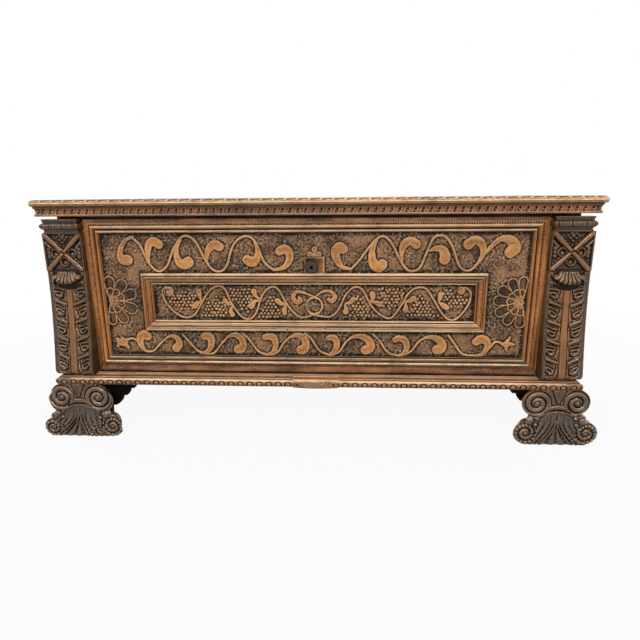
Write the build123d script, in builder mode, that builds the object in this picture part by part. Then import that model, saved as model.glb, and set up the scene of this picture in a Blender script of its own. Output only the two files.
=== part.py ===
"""A carved walnut cassone: a long chest with a framed front, pilasters, scroll feet and a hinged lid.

The frame: millimetres, +X to the right of someone facing the front, +Y to the back, +Z up.
The origin is on the floor, under the middle of the lid.
"""

import math
import os

from build123d import *

os.makedirs("parts", exist_ok=True)

# ---- Driving dimensions -------------------------------------------------------------------
LID_LENGTH = 1650.0
LID_DEPTH = 566.0
LID_THICKNESS = 19.0
RIM_HEIGHT = 733.0  # top edge of the carcass, where the lid rests
FOOT_HEIGHT = 181.0
LID_END_OVERHANG = 42.0
LID_FRONT_OVERHANG = 56.0
LID_REAR_OVERHANG = 36.0

# Boards of the carcass
FRONT_THICKNESS = 30.0
BACK_THICKNESS = 24.0
END_THICKNESS = 26.0
BOTTOM_THICKNESS = 20.0
BOTTOM_BOARD_COUNT = 3
CLEAT_SIZE = 22.0

# Lid edge and the moulding under it
LID_CORNER_RADIUS = 26.0
LID_EDGE_TOP_RADIUS = 10.0
LID_EDGE_LOWER_RADIUS = 6.0
LID_MOULDING_HEIGHT = 28.0
LID_MOULDING_SETBACK = 10.0  # behind the lid's front edge
LID_MOULDING_END_SETBACK = 17.0  # inside the lid's ends
LID_MOULDING_FRONT_WIDTH = 28.0
LID_MOULDING_SIDE_GAP = 3.0  # to the end boards
LID_MOULDING_FILLET = (2.0, 5.0)  # setback of the cove behind the fillet, height of the fillet
LID_MOULDING_COVE_DEPTH = 5.0
LID_MOULDING_BEAD = (4.0, 1.5, 6.0)  # setback of its edges, setback of its middle, height

# Mitred frame round the carved front. Its section points are (distance from the sight edge, height).
FRAME_SIDE_WIDTH = 40.0
FRAME_RAIL_WIDTH = 55.0
FRAME_RIM_MARGIN = 24.0  # from the frame's outer edge up to the rim
FRAME_PILASTER_GAP = 5.0
FRAME_FILLET = (4.0, 7.0)
FRAME_FILLET_FOOT = (6.0, 4.6)
FRAME_COVE = (9.0, 4.0)
FRAME_BEAD = (14.0, 13.0)
FRAME_BAND = (20.0, 8.0)

# Smaller mitred frame inside it
PANEL_OPENING_HEIGHT = 113.5
PANEL_END_MARGIN = 154.0  # from the outer frame's opening to the smaller one's
PANEL_DROP = 19.75  # of its middle, below the middle of the outer opening
PANEL_MOULDING_WIDTH = 33.0
PANEL_FILLET = (5.0, 9.0)
PANEL_STEP = (7.0, 11.0)
PANEL_SLOPE = (21.0, 13.0)
PANEL_BEAD = (28.0, 14.5)
PANEL_OUTER_HEIGHT = 6.0

# Plinth moulding and its middle tab
BASE_SIDE_WIDTH = 34.0
BASE_FRONT_WIDTH = 43.0
BASE_HEIGHT = 33.0
BASE_NOSE_HEIGHT = 22.0
BASE_FILLET = (9.0, 4.0)  # setback, height
BASE_COVE = (15.0, 6.0)  # its middle point, from the outer edge and from the nose
BASE_TOP_SETBACK = 18.0
TAB_LENGTH = 139.0
TAB_CENTRE = 11.5
TAB_WIDTH = 49.0
TAB_DROP = 3.0
TAB_NOSE_SETBACK = 7.0
TAB_BEVEL = 6.0
TAB_UPPER_NOSE = (6.0, 2.0)  # setback, height above the plinth's nose
TAB_SHOULDER = (10.0, 6.0)
TAB_TOP_SETBACK = 19.0

# Pilasters
PILASTER_OVERHANG = 23.0  # past the end of the carcass
PILASTER_WIDTH = 118.0
SHAFT_FOOT_GAP = 1.0  # above the plinth
SHAFT_TOP_PROJECTION = 21.0
SHAFT_FOOT_PROJECTION = 54.0
SHAFT_FOOT_RADIUS = 22.0
SHAFT_TOP_LEAN = 0.02
BLOCK_HEIGHT = 115.0
BLOCK_PROJECTION = 24.0
BLOCK_ARRIS = 1.5
CAP_GAP = 8.0  # below the lid's moulding
CAP_OUTER_INSET = 5.0  # behind the pilaster's outer side
CAP_INNER_OVERHANG = 4.0  # past the pilaster's inner side
CAP_PROJECTION = 38.0
CAP_NECK_HEIGHT = 12.0
CAP_BEAD_HEIGHT = 17.0
CAP_BEAD_ROUNDING = 4.5
CAP_PLATE_HEIGHT = 13.0
CAP_PLATE_INSET = 5.0

# Feet
FOOT_END_SETBACK = 65.0  # from the plinth's end to the middle of the foot
FOOT_UPPER_SCROLL = (62.0, 42.0, 41.0)  # sideways from the foot's middle, below its top, radius
FOOT_LOWER_SCROLL = (93.0, 36.0)  # sideways from the foot's middle, radius
FOOT_WAIST_BALL = (78.0, 102.0, 13.0)  # sideways from the foot's middle, below its top, radius
FOOT_BODY_WIDTH = 122.0
FOOT_FRONT_THICKNESS = 40.0
FOOT_FRONT_SETBACK = 15.0  # behind the lid's front edge
BRACKET_THICKNESS = 16.0
REAR_FOOT_THICKNESS = 48.0
BRACKET_LEG_HALF = 66.0
BRACKET_STEP_DROPS = (121.0, 86.0, 51.0, 26.0)  # below the foot's top
BRACKET_STEP_REACH = (72.0, 90.0, 131.0, 157.0)  # inward from the foot's middle
BRACKET_TREAD = 16.0
BRACKET_BULGE = (0.8, 0.45)  # shares of a step's reach and rise
LEFT_BRACKET_SHIFT = 4.0  # the left bracket stands further in than the right one
RIGHT_BRACKET_SHIFT = -37.0
DOWEL_RADIUS = 6.0
DOWEL_LENGTH = 56.0
DOWEL_IN_FOOT = 30.0
DOWEL_SPREAD = 28.0

# Strap hinges
HINGE_FROM_END = 303.0  # from the end of the carcass
STRAP_WIDTH = 34.0
STRAP_THICKNESS = 3.2
LID_STRAP_REACH = 300.0  # forward from the back of the carcass
BACK_STRAP_DROP = 172.0
STRAP_POINT = 26.0
KNUCKLE_RADIUS = 7.5
KNUCKLE_CLEARANCE = 0.5  # from the knuckles to the carcass back
LID_KNUCKLE_LENGTH = 18.0
BACK_KNUCKLE_LENGTH = 10.0
KNUCKLE_GAP = 0.4
PIN_RADIUS = 3.5
PIN_CLEARANCE = 0.05
PIN_HEAD_RADIUS = 5.5
PIN_HEAD_LENGTH = 2.0
RECESS_CLEARANCE = 1.1
NOTCH_CLEARANCE = 0.5
NAIL_RADIUS = 2.0
NAIL_HEAD_RADIUS = 5.0
NAIL_HEAD_HEIGHT = 2.0
NAIL_SHANK = 15.0
LID_STRAP_NAILS = (50.0, 130.0, 210.0, 275.0)  # forward from the back of the carcass
BACK_STRAP_NAILS = (45.0, 90.0, 140.0)  # down from the rim

# Keyhole
KEYHOLE_X = 1.5
KEYHOLE_RADIUS = 5.0
BOSS_RADIUS = 18.5
BOSS_DEPTH = 9.0
BOSS_EDGE_RADIUS = 4.0
COVER_PIVOT_OFFSET = (-1.5, 15.0)  # from the keyhole
COVER_REACH = 19.0
COVER_EYE_RADIUS = 4.8
COVER_TIP_RADIUS = 7.0
COVER_THICKNESS = 2.4
COVER_GAP = 0.4
COVER_REST_ANGLE = 32.0  # below the horizontal, swung aside to the left
RIVET_RADIUS = 1.8
RIVET_CLEARANCE = 0.08
RIVET_HEAD_RADIUS = 3.2
RIVET_HEAD_HEIGHT = 1.6
RIVET_DEPTH = 5.0

# Lock, placed sideways from the keyhole
LOCK_PLATE_WIDTH = 112.0
LOCK_PLATE_DROP = 45.0  # below the keyhole
LOCK_PLATE_MARGIN = 4.0  # below the rim
LOCK_PLATE_THICKNESS = 3.0
LOCK_NAIL_MARGIN = 9.0
BOLT_THICKNESS = 6.0
BOLT_STANDOFF = 8.0
BOLT_BAR_ENDS = (-47.5, 30.5)
BOLT_BAR_HEIGHT = 14.0
BOLT_BAR_RISE = 17.0  # above the keyhole
BOLT_TONGUE_ENDS = (-13.5, 30.5)
BOLT_TONGUE_HEIGHT = 12.0
BOLT_TONGUE_DROP = 27.0  # below the rim
BOLT_STEM_WIDTH = 13.0
BOLT_TRAVEL = 18.0
BOLT_REST_GAP = 6.0  # from the tip of the tongue, drawn back, to the staple
BOLT_CLEARANCE = 0.3
KEEPER_WALL = 4.0
KEEPER_WIDTH = 8.0
KEEPER_MARGIN = 1.0
SPRING_THICKNESS = 1.2
SPRING_WIDTH = 8.0
SPRING_LENGTH = 26.0
SPRING_BEND = (0.6, 0.75)  # shares of its length
SPRING_FOOT = (-53.5, 36.0)  # sideways from the keyhole, above it
STAPLE_WIDTH = 8.0
STAPLE_WIRE = 3.0
STAPLE_CLEARANCE = 2.0
STAPLE_PLATE = (44.0, 30.0, 3.0)
STAPLE_NAIL_SPREAD = 16.0

# ---- Places that follow from them ------------------------------------------------------------
FRONT_FACE = -LID_DEPTH / 2 + LID_FRONT_OVERHANG
BACK_FACE = LID_DEPTH / 2 - LID_REAR_OVERHANG
INNER_FRONT = FRONT_FACE + FRONT_THICKNESS
INNER_BACK = BACK_FACE - BACK_THICKNESS
HALF_LID = LID_LENGTH / 2
HALF_CARCASS = HALF_LID - LID_END_OVERHANG
HALF_BASE = HALF_CARCASS + BASE_SIDE_WIDTH
INNER_END = HALF_CARCASS - END_THICKNESS
BOTTOM_LOWER = FOOT_HEIGHT + CLEAT_SIZE
BASE_TOP = FOOT_HEIGHT + BASE_HEIGHT
LID_MOULDING_LOW = RIM_HEIGHT - LID_MOULDING_HEIGHT

PILASTER_OUTER = HALF_CARCASS + PILASTER_OVERHANG
PILASTER_INNER = PILASTER_OUTER - PILASTER_WIDTH
CAP_OUTER = PILASTER_OUTER - CAP_OUTER_INSET
CAP_INNER = PILASTER_INNER - CAP_INNER_OVERHANG
CAP_TOP = LID_MOULDING_LOW - CAP_GAP
CAP_BEAD_HIGH = CAP_TOP - CAP_PLATE_HEIGHT
CAP_BEAD_LOW = CAP_BEAD_HIGH - CAP_BEAD_HEIGHT
BLOCK_TOP = CAP_BEAD_LOW - CAP_NECK_HEIGHT
SHAFT_TOP = BLOCK_TOP - BLOCK_HEIGHT
SHAFT_BOTTOM = BASE_TOP + SHAFT_FOOT_GAP

# Openings of the two frames: half length, lower edge, upper edge
FRAME_HALF = PILASTER_INNER - FRAME_PILASTER_GAP - FRAME_SIDE_WIDTH
FRAME_OPENING = (FRAME_HALF, BASE_TOP + FRAME_RAIL_WIDTH, RIM_HEIGHT - FRAME_RIM_MARGIN - FRAME_RAIL_WIDTH)
PANEL_LEVEL = (FRAME_OPENING[1] + FRAME_OPENING[2]) / 2 - PANEL_DROP
PANEL_OPENING = (FRAME_HALF - PANEL_END_MARGIN, PANEL_LEVEL - PANEL_OPENING_HEIGHT / 2,
                 PANEL_LEVEL + PANEL_OPENING_HEIGHT / 2)

HINGE_Y = BACK_FACE + KNUCKLE_RADIUS + KNUCKLE_CLEARANCE
HINGE_Z = RIM_HEIGHT - STRAP_THICKNESS / 2
HINGES = {"left": HINGE_FROM_END - HALF_CARCASS, "right": HALF_CARCASS - HINGE_FROM_END}
STRAP_UNDERSIDE = RIM_HEIGHT - STRAP_THICKNESS
STRAP_OUTSIDE = BACK_FACE + STRAP_THICKNESS

SIDES = {"left": -1, "right": 1}
FOOT_CENTRE = HALF_BASE - FOOT_END_SETBACK
FOOT_FRONT_FACE = -LID_DEPTH / 2 + FOOT_FRONT_SETBACK
FOOT_FRONT_BACK = FOOT_FRONT_FACE + FOOT_FRONT_THICKNESS
BRACKET_SHIFTS = {"left": LEFT_BRACKET_SHIFT, "right": RIGHT_BRACKET_SHIFT}

# The keyhole's boss rests on the smaller frame
KEYHOLE_Z = PANEL_OPENING[2] + PANEL_MOULDING_WIDTH + BOSS_RADIUS
BOSS_FACE = FRONT_FACE - BOSS_DEPTH
COVER_PIVOT = (KEYHOLE_X + COVER_PIVOT_OFFSET[0], KEYHOLE_Z + COVER_PIVOT_OFFSET[1])
LOCK_PLATE_BACK = INNER_FRONT + LOCK_PLATE_THICKNESS
LOCK_PLATE_LEVELS = (KEYHOLE_Z - LOCK_PLATE_DROP, RIM_HEIGHT - LOCK_PLATE_MARGIN)
BOLT_FRONT = LOCK_PLATE_BACK + BOLT_STANDOFF
BOLT_BACK = BOLT_FRONT + BOLT_THICKNESS
BOLT_LEVELS = {"bar": KEYHOLE_Z + BOLT_BAR_RISE, "tongue": RIM_HEIGHT - BOLT_TONGUE_DROP}
BOLT_HEIGHTS = {"bar": BOLT_BAR_HEIGHT, "tongue": BOLT_TONGUE_HEIGHT}
STEM_LEFT = KEYHOLE_X + BOLT_TONGUE_ENDS[0]
STEM_RIGHT = STEM_LEFT + BOLT_STEM_WIDTH
KEEPER_LEFT_X = STEM_LEFT - 2 * KEEPER_MARGIN - KEEPER_WIDTH / 2
KEEPER_RIGHT_X = STEM_RIGHT + BOLT_TRAVEL + KEEPER_MARGIN + KEEPER_WIDTH / 2
STAPLE_X = KEYHOLE_X + BOLT_TONGUE_ENDS[1] + BOLT_REST_GAP + STAPLE_WIDTH / 2
STAPLE_Y = (BOLT_FRONT + BOLT_BACK) / 2
STAPLE_UNDERSIDE = RIM_HEIGHT - STAPLE_PLATE[2]

# Planes that look at the chest from the front: local x is +X and local y is +Z
FACING = Plane(origin=(0, 0, 0), x_dir=(1, 0, 0), z_dir=(0, -1, 0))


def facing(y):
    """The vertical plane at depth y, with local x to the right, local y up and its normal to the front."""
    return FACING.offset(-y)


def crosswise(x, z):
    """A plane through the front of the carcass at x: local x runs forward, local y up."""
    return Plane(origin=(x, FRONT_FACE, z), x_dir=(0, -1, 0), z_dir=(-1, 0, 0))


def finish(builder, label):
    """Labels a finished piece and writes it."""
    builder.part.label = label
    export_step(builder.part, f"parts/{label}.step")


def span(low, high):
    """The middle and the length of a stretch."""
    return (low + high) / 2, high - low


def box_between(x, y, z):
    """A loose box between pairs of limits."""
    centres, sizes = zip(*(span(*limits) for limits in (x, y, z)))
    return Pos(*centres) * Box(*sizes, mode=Mode.PRIVATE)


def board(label, x, y, z, cuts=()):
    """A plain board between pairs of limits, less some cutting solids."""
    with BuildPart() as piece:
        add(box_between(x, y, z))
        for cut in cuts:
            add(cut, mode=Mode.SUBTRACT)
    finish(piece, label)


def upright_pin(x, y, low, high, radius):
    """A loose vertical round bar."""
    middle, length = span(low, high)
    return Pos(x, y, middle) * Cylinder(radius, length, mode=Mode.PRIVATE)


def lengthwise_pin(x, y, z, radius):
    """A loose round bar along Y between two depths."""
    middle, length = span(*y)
    return Pos(x, middle, z) * Rot(90, 0, 0) * Cylinder(radius, length, mode=Mode.PRIVATE)


def group(label, solids):
    """Several separate like solids in one node."""
    with BuildPart() as piece:
        for solid in solids:
            add(solid)
    finish(piece, label)


# ---- Dowels that fix the feet ------------------------------------------------------------------
DOWEL_LOW = FOOT_HEIGHT - DOWEL_IN_FOOT
DOWEL_HIGH = DOWEL_LOW + DOWEL_LENGTH
DOWEL_ROWS = {
    "scroll": FOOT_FRONT_FACE + FOOT_FRONT_THICKNESS / 2,
    "bracket": FOOT_FRONT_BACK + BRACKET_THICKNESS / 2,
    "rear": INNER_BACK + BACK_THICKNESS / 2,
}


def dowels(row):
    """The four dowels of one row of feet."""
    steps = (-DOWEL_SPREAD, DOWEL_SPREAD)
    places = [side * FOOT_CENTRE + step for side in SIDES.values() for step in steps]
    if row != "scroll":
        reach = HALF_CARCASS - DOWEL_RADIUS - NOTCH_CLEARANCE
        places = [max(-reach, min(reach, place)) for place in places]
    return [upright_pin(place, DOWEL_ROWS[row], DOWEL_LOW, DOWEL_HIGH, DOWEL_RADIUS) for place in places]


group("foot_dowels", dowels("scroll") + dowels("bracket") + dowels("rear"))


# ---- Nails --------------------------------------------------------------------------------------
def nail(x, y, z, way):
    """A clout nail whose head rests at (x, y, z) and whose shank runs along way, a unit vector."""
    with BuildPart(mode=Mode.PRIVATE) as piece:
        with BuildSketch(Plane(origin=(x, y, z), z_dir=way)):
            Circle(NAIL_RADIUS)
        extrude(amount=NAIL_SHANK)
        with BuildSketch(Plane(origin=(x, y, z), z_dir=way)):
            Circle(NAIL_HEAD_RADIUS)
        extrude(amount=-NAIL_HEAD_HEIGHT)
        chamfer(piece.faces().sort_by(Axis((x, y, z), way))[0].edges(), NAIL_HEAD_HEIGHT / 2)
    return piece.part


UP = (0, 0, 1)
FORWARD = (0, -1, 0)
LOCK_NAIL_PLACES = [
    (KEYHOLE_X + side * (LOCK_PLATE_WIDTH / 2 - LOCK_NAIL_MARGIN), level)
    for side in SIDES.values()
    for level in (LOCK_PLATE_LEVELS[0] + LOCK_NAIL_MARGIN, LOCK_PLATE_LEVELS[1] - LOCK_NAIL_MARGIN)
]
LID_NAILS = [
    nail(x, BACK_FACE - reach, STRAP_UNDERSIDE, UP) for x in HINGES.values() for reach in LID_STRAP_NAILS
]
STAPLE_NAILS = [
    nail(STAPLE_X + side * STAPLE_NAIL_SPREAD, STAPLE_Y, STAPLE_UNDERSIDE, UP) for side in SIDES.values()
]
BACK_NAILS = [
    nail(x, STRAP_OUTSIDE, RIM_HEIGHT - drop, FORWARD) for x in HINGES.values() for drop in BACK_STRAP_NAILS
]
LOCK_NAILS = [nail(x, LOCK_PLATE_BACK, z, FORWARD) for x, z in LOCK_NAIL_PLACES]

group("lid_nails", LID_NAILS + STAPLE_NAILS)
group("back_strap_nails", BACK_NAILS)
group("lock_nails", LOCK_NAILS)

# ---- Carcass ------------------------------------------------------------------------------------
KEYHOLE_BORE = lengthwise_pin(KEYHOLE_X, (BOSS_FACE - 1, LOCK_PLATE_BACK + 1), KEYHOLE_Z, KEYHOLE_RADIUS)
HEIGHTS = (FOOT_HEIGHT, RIM_HEIGHT)
FULL_LENGTH = (-HALF_CARCASS, HALF_CARCASS)
BETWEEN_ENDS = (-INNER_END, INNER_END)
BETWEEN_FRONT_AND_BACK = (INNER_FRONT, INNER_BACK)
NOTCH_HALF = STRAP_WIDTH / 2 + NOTCH_CLEARANCE
STRAP_NOTCHES = [
    box_between((x - NOTCH_HALF, x + NOTCH_HALF), (INNER_BACK - 1, BACK_FACE + 1),
                (STRAP_UNDERSIDE - NOTCH_CLEARANCE, RIM_HEIGHT + 1))
    for x in HINGES.values()
]

board("front_board", FULL_LENGTH, (FRONT_FACE, INNER_FRONT), HEIGHTS,
      [KEYHOLE_BORE] + LOCK_NAILS + dowels("bracket"))
board("back_board", FULL_LENGTH, (INNER_BACK, BACK_FACE), HEIGHTS,
      STRAP_NOTCHES + BACK_NAILS + dowels("rear"))
for name, side in SIDES.items():
    end_limits = sorted((side * INNER_END, side * HALF_CARCASS))
    cleat_limits = sorted((side * INNER_END, side * (INNER_END - CLEAT_SIZE)))
    board(f"end_board_{name}", end_limits, BETWEEN_FRONT_AND_BACK, HEIGHTS)
    board(f"bottom_cleat_{name}", cleat_limits, BETWEEN_FRONT_AND_BACK, (FOOT_HEIGHT, BOTTOM_LOWER))

BOTTOM_BOARD_WIDTH = (INNER_BACK - INNER_FRONT) / BOTTOM_BOARD_COUNT
for index, name in enumerate(("front", "middle", "rear")):
    start = INNER_FRONT + index * BOTTOM_BOARD_WIDTH
    board(f"bottom_board_{name}", BETWEEN_ENDS, (start, start + BOTTOM_BOARD_WIDTH),
          (BOTTOM_LOWER, BOTTOM_LOWER + BOTTOM_THICKNESS))


# ---- Mitred frames on the front -------------------------------------------------------------------
def frame_section():
    """Section of the outer frame: distance from the sight edge, height above the board."""
    with BuildSketch() as section:
        with BuildLine():
            Polyline((0, 0), (0, FRAME_FILLET[1]), FRAME_FILLET)
            ThreePointArc(FRAME_FILLET, FRAME_FILLET_FOOT, FRAME_COVE)
            ThreePointArc(FRAME_COVE, FRAME_BEAD, FRAME_BAND)
            Polyline(FRAME_BAND, (FRAME_RAIL_WIDTH, FRAME_BAND[1]), (FRAME_RAIL_WIDTH, 0), (0, 0))
        make_face()
    return section.sketch


def panel_section():
    """Section of the smaller frame: distance from the sight edge, height above the board."""
    outer_edge = (PANEL_MOULDING_WIDTH, PANEL_OUTER_HEIGHT)
    with BuildSketch() as section:
        with BuildLine():
            Polyline((0, 0), (0, PANEL_FILLET[1]), PANEL_FILLET, PANEL_STEP, PANEL_SLOPE)
            ThreePointArc(PANEL_SLOPE, PANEL_BEAD, outer_edge)
            Polyline(outer_edge, (PANEL_MOULDING_WIDTH, 0), (0, 0))
        make_face()
    return section.sketch


def rail_outline(opening, mitre, rail_width, sign):
    """Front view of a frame rail, about the opening's middle: mitred for as far as the stiles are wide."""
    half = opening[0]
    reach = (opening[2] - opening[1]) / 2
    points = [(half, reach), (half + mitre, reach + mitre)]
    if rail_width > mitre:
        points.append((half + mitre, reach + rail_width))
    mirrored = [(-x, z) for x, z in reversed(points)]
    middle = (opening[1] + opening[2]) / 2
    return [(x, middle + sign * z) for x, z in points + mirrored]


def stile_outline(opening, mitre, sign):
    """Front view of a frame stile, mitred at both ends."""
    half, low, high = opening
    points = [(half, low), (half + mitre, low - mitre), (half + mitre, high + mitre), (half, high)]
    return [(sign * x, z) for x, z in points]


def frame_piece(label, section, edge, outward, outline, length):
    """One side of a mitred frame: its section run along an edge, cut to its outline."""
    along = Vector(*outward).cross(Vector(*FORWARD))
    with BuildPart() as piece:
        with BuildSketch(Plane(origin=edge, x_dir=outward, z_dir=along)):
            add(section)
        extrude(amount=length / 2, both=True)
        with BuildSketch(facing(FRONT_FACE)):
            with BuildLine():
                Polyline(*outline, close=True)
            make_face()
        extrude(amount=FRAME_RAIL_WIDTH, mode=Mode.INTERSECT)
    finish(piece, label)


def mitred_frame(label, section, opening, side_width, rail_width):
    """The four pieces of a frame round an opening."""
    half, low, high = opening
    length = 2 * half + 4 * rail_width
    for name, sign, level in (("top", 1, high), ("bottom", -1, low)):
        outline = rail_outline(opening, side_width, rail_width, sign)
        frame_piece(f"{label}_{name}", section, (0, FRONT_FACE, level), (0, 0, sign), outline, length)
    for name, sign in SIDES.items():
        edge = (sign * half, FRONT_FACE, (low + high) / 2)
        outline = stile_outline(opening, side_width, sign)
        frame_piece(f"{label}_{name}", section, edge, (sign, 0, 0), outline, length)


mitred_frame("frame", frame_section(), FRAME_OPENING, FRAME_SIDE_WIDTH, FRAME_RAIL_WIDTH)
mitred_frame("panel_moulding", panel_section(), PANEL_OPENING, PANEL_MOULDING_WIDTH, PANEL_MOULDING_WIDTH)


# ---- Mouldings round the chest --------------------------------------------------------------------
def edge_run(label, section, plane, length, outline, heights, cuts=()):
    """A moulding run along a plane's normal, cut to a plan outline between two heights."""
    low, high = heights
    with BuildPart() as piece:
        with BuildSketch(plane):
            add(section)
        extrude(amount=length / 2, both=True)
        with BuildSketch(Plane.XY.offset(low)):
            with BuildLine():
                Polyline(*outline, close=True)
            make_face()
        extrude(amount=high - low, mode=Mode.INTERSECT)
        for cut in cuts:
            add(cut, mode=Mode.SUBTRACT)
    finish(piece, label)


def front_plane(front, z):
    """Section plane of a front moulding: local x outward, local y up, origin at the outer edge."""
    return Plane(origin=(0, front, z), x_dir=FORWARD, z_dir=(-1, 0, 0))


def side_plane(side, half_length, z):
    """Section plane of a side moulding, laid out like the front one."""
    return Plane(origin=(side * half_length, 0, z), x_dir=(side, 0, 0), z_dir=(0, -side, 0))


def side_outline(side, outer, inner, front, mitre):
    """Plan of a side moulding, mitred at the front and square at the back of the carcass."""
    points = [(outer, front), (outer, BACK_FACE), (inner, BACK_FACE), (inner, mitre)]
    return [(side * x, y) for x, y in points]


def base_section(width):
    """Section of the plinth: a round nose below, then a fillet and a cove."""
    nose = BASE_NOSE_HEIGHT
    fillet_top = nose + BASE_FILLET[1]
    with BuildSketch() as section:
        with BuildLine():
            Polyline((-width, 0), (-nose / 3, 0))
            ThreePointArc((-nose / 3, 0), (0, nose / 2), (-nose / 4, nose))
            Polyline((-nose / 4, nose), (-BASE_FILLET[0], nose), (-BASE_FILLET[0], fillet_top))
            ThreePointArc((-BASE_FILLET[0], fillet_top), (-BASE_COVE[0], nose + BASE_COVE[1]),
                          (-BASE_TOP_SETBACK, BASE_HEIGHT))
            Polyline((-BASE_TOP_SETBACK, BASE_HEIGHT), (-width, BASE_HEIGHT), (-width, 0))
        make_face()
    return section.sketch


BASE_FRONT = FRONT_FACE - BASE_FRONT_WIDTH
BASE_MITRE = BASE_FRONT + BASE_SIDE_WIDTH
BASE_HEIGHTS = (FOOT_HEIGHT, BASE_TOP)
TAB_ENDS = {name: TAB_CENTRE + side * TAB_LENGTH / 2 for name, side in SIDES.items()}

for name, side in SIDES.items():
    base_outline = [
        (TAB_ENDS[name], BASE_FRONT), (side * HALF_BASE, BASE_FRONT), (side * HALF_CARCASS, BASE_MITRE),
        (side * HALF_CARCASS, FRONT_FACE), (TAB_ENDS[name], FRONT_FACE),
    ]
    edge_run(f"base_moulding_front_{name}", base_section(BASE_FRONT_WIDTH),
             front_plane(BASE_FRONT, FOOT_HEIGHT), 2 * HALF_BASE, base_outline, BASE_HEIGHTS, dowels("scroll"))
    edge_run(f"base_moulding_{name}", base_section(BASE_SIDE_WIDTH), side_plane(side, HALF_BASE, FOOT_HEIGHT),
             2 * LID_DEPTH, side_outline(side, HALF_BASE, HALF_CARCASS, BASE_FRONT, BASE_MITRE), BASE_HEIGHTS)

TAB_NOSE_START = (TAB_WIDTH - TAB_NOSE_SETBACK, -TAB_DROP)
TAB_NOSE_END = (TAB_WIDTH - TAB_UPPER_NOSE[0], BASE_NOSE_HEIGHT + TAB_UPPER_NOSE[1])
with BuildPart() as base_tab:
    with BuildSketch(crosswise(TAB_CENTRE, FOOT_HEIGHT)):
        with BuildLine():
            Polyline((0, 0), (TAB_WIDTH / 2, 0), (TAB_WIDTH / 2 + TAB_BEVEL, -TAB_DROP), TAB_NOSE_START)
            ThreePointArc(TAB_NOSE_START, (TAB_WIDTH, BASE_NOSE_HEIGHT / 2), TAB_NOSE_END)
            Polyline(TAB_NOSE_END, (TAB_WIDTH - TAB_SHOULDER[0], BASE_NOSE_HEIGHT + TAB_SHOULDER[1]),
                     (TAB_WIDTH - TAB_TOP_SETBACK, BASE_HEIGHT), (0, BASE_HEIGHT), (0, 0))
        make_face()
    extrude(amount=TAB_LENGTH / 2, both=True)
finish(base_tab, "base_tab")


def lid_moulding_section(width):
    """Section of the moulding under the lid: a fillet above a shallow cove and a small lower bead."""
    height = LID_MOULDING_HEIGHT
    cove_top = (-LID_MOULDING_FILLET[0], height - LID_MOULDING_FILLET[1])
    bead_edge, bead_middle, bead_height = LID_MOULDING_BEAD
    with BuildSketch() as section:
        with BuildLine():
            Polyline((-width, height), (0, height), (0, cove_top[1]), cove_top)
            ThreePointArc(cove_top, (-LID_MOULDING_COVE_DEPTH, height / 2), (-bead_edge, bead_height))
            ThreePointArc((-bead_edge, bead_height), (-bead_middle, bead_height / 2), (-bead_edge, 0))
            Polyline((-bead_edge, 0), (-width, 0), (-width, height))
        make_face()
    return section.sketch


HALF_MOULDING = HALF_LID - LID_MOULDING_END_SETBACK
MOULDING_FRONT = -LID_DEPTH / 2 + LID_MOULDING_SETBACK
MOULDING_INNER_X = HALF_CARCASS + LID_MOULDING_SIDE_GAP
MOULDING_SIDE_WIDTH = HALF_MOULDING - MOULDING_INNER_X
MOULDING_INNER_Y = MOULDING_FRONT + LID_MOULDING_FRONT_WIDTH
MOULDING_MITRE = MOULDING_FRONT + MOULDING_SIDE_WIDTH
MOULDING_HEIGHTS = (LID_MOULDING_LOW, RIM_HEIGHT)
FRONT_MOULDING_HALF = [(HALF_MOULDING, MOULDING_FRONT), (MOULDING_INNER_X, MOULDING_MITRE),
                       (MOULDING_INNER_X, MOULDING_INNER_Y)]
FRONT_MOULDING_OUTLINE = FRONT_MOULDING_HALF + [(-x, y) for x, y in reversed(FRONT_MOULDING_HALF)]

edge_run("lid_moulding_front", lid_moulding_section(LID_MOULDING_FRONT_WIDTH),
         front_plane(MOULDING_FRONT, LID_MOULDING_LOW), 2 * HALF_MOULDING, FRONT_MOULDING_OUTLINE,
         MOULDING_HEIGHTS)
for name, side in SIDES.items():
    edge_run(f"lid_moulding_{name}", lid_moulding_section(MOULDING_SIDE_WIDTH),
             side_plane(side, HALF_MOULDING, LID_MOULDING_LOW), 2 * LID_DEPTH,
             side_outline(side, HALF_MOULDING, MOULDING_INNER_X, MOULDING_FRONT, MOULDING_MITRE),
             MOULDING_HEIGHTS)

# ---- Lid ----------------------------------------------------------------------------------------
KNUCKLES_HALF = LID_KNUCKLE_LENGTH / 2 + KNUCKLE_GAP + BACK_KNUCKLE_LENGTH
RECESS_HALF = KNUCKLES_HALF + PIN_HEAD_LENGTH + RECESS_CLEARANCE
RECESS_RADIUS = KNUCKLE_RADIUS + RECESS_CLEARANCE
KNUCKLE_RECESSES = [
    box_between((x - RECESS_HALF, x + RECESS_HALF), (HINGE_Y - RECESS_RADIUS, HINGE_Y + RECESS_RADIUS),
                (RIM_HEIGHT - 1, HINGE_Z + RECESS_RADIUS))
    for x in HINGES.values()
]

with BuildPart() as lid_board:
    with BuildSketch(Plane.XY.offset(RIM_HEIGHT)):
        Rectangle(LID_LENGTH, LID_DEPTH)
    extrude(amount=LID_THICKNESS)
    fillet(lid_board.edges().filter_by(Axis.Z).group_by(Axis.Y)[0], LID_CORNER_RADIUS)
    top_edges = lid_board.faces().sort_by(Axis.Z)[-1].edges().sort_by(Axis.Y)[:-1]
    fillet(top_edges, LID_EDGE_TOP_RADIUS)
    low_edges = lid_board.faces().sort_by(Axis.Z)[0].edges().sort_by(Axis.Y)[:-1]
    fillet(low_edges, LID_EDGE_LOWER_RADIUS)
    for solid in KNUCKLE_RECESSES + LID_NAILS + STAPLE_NAILS:
        add(solid, mode=Mode.SUBTRACT)
finish(lid_board, "lid_board")


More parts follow.
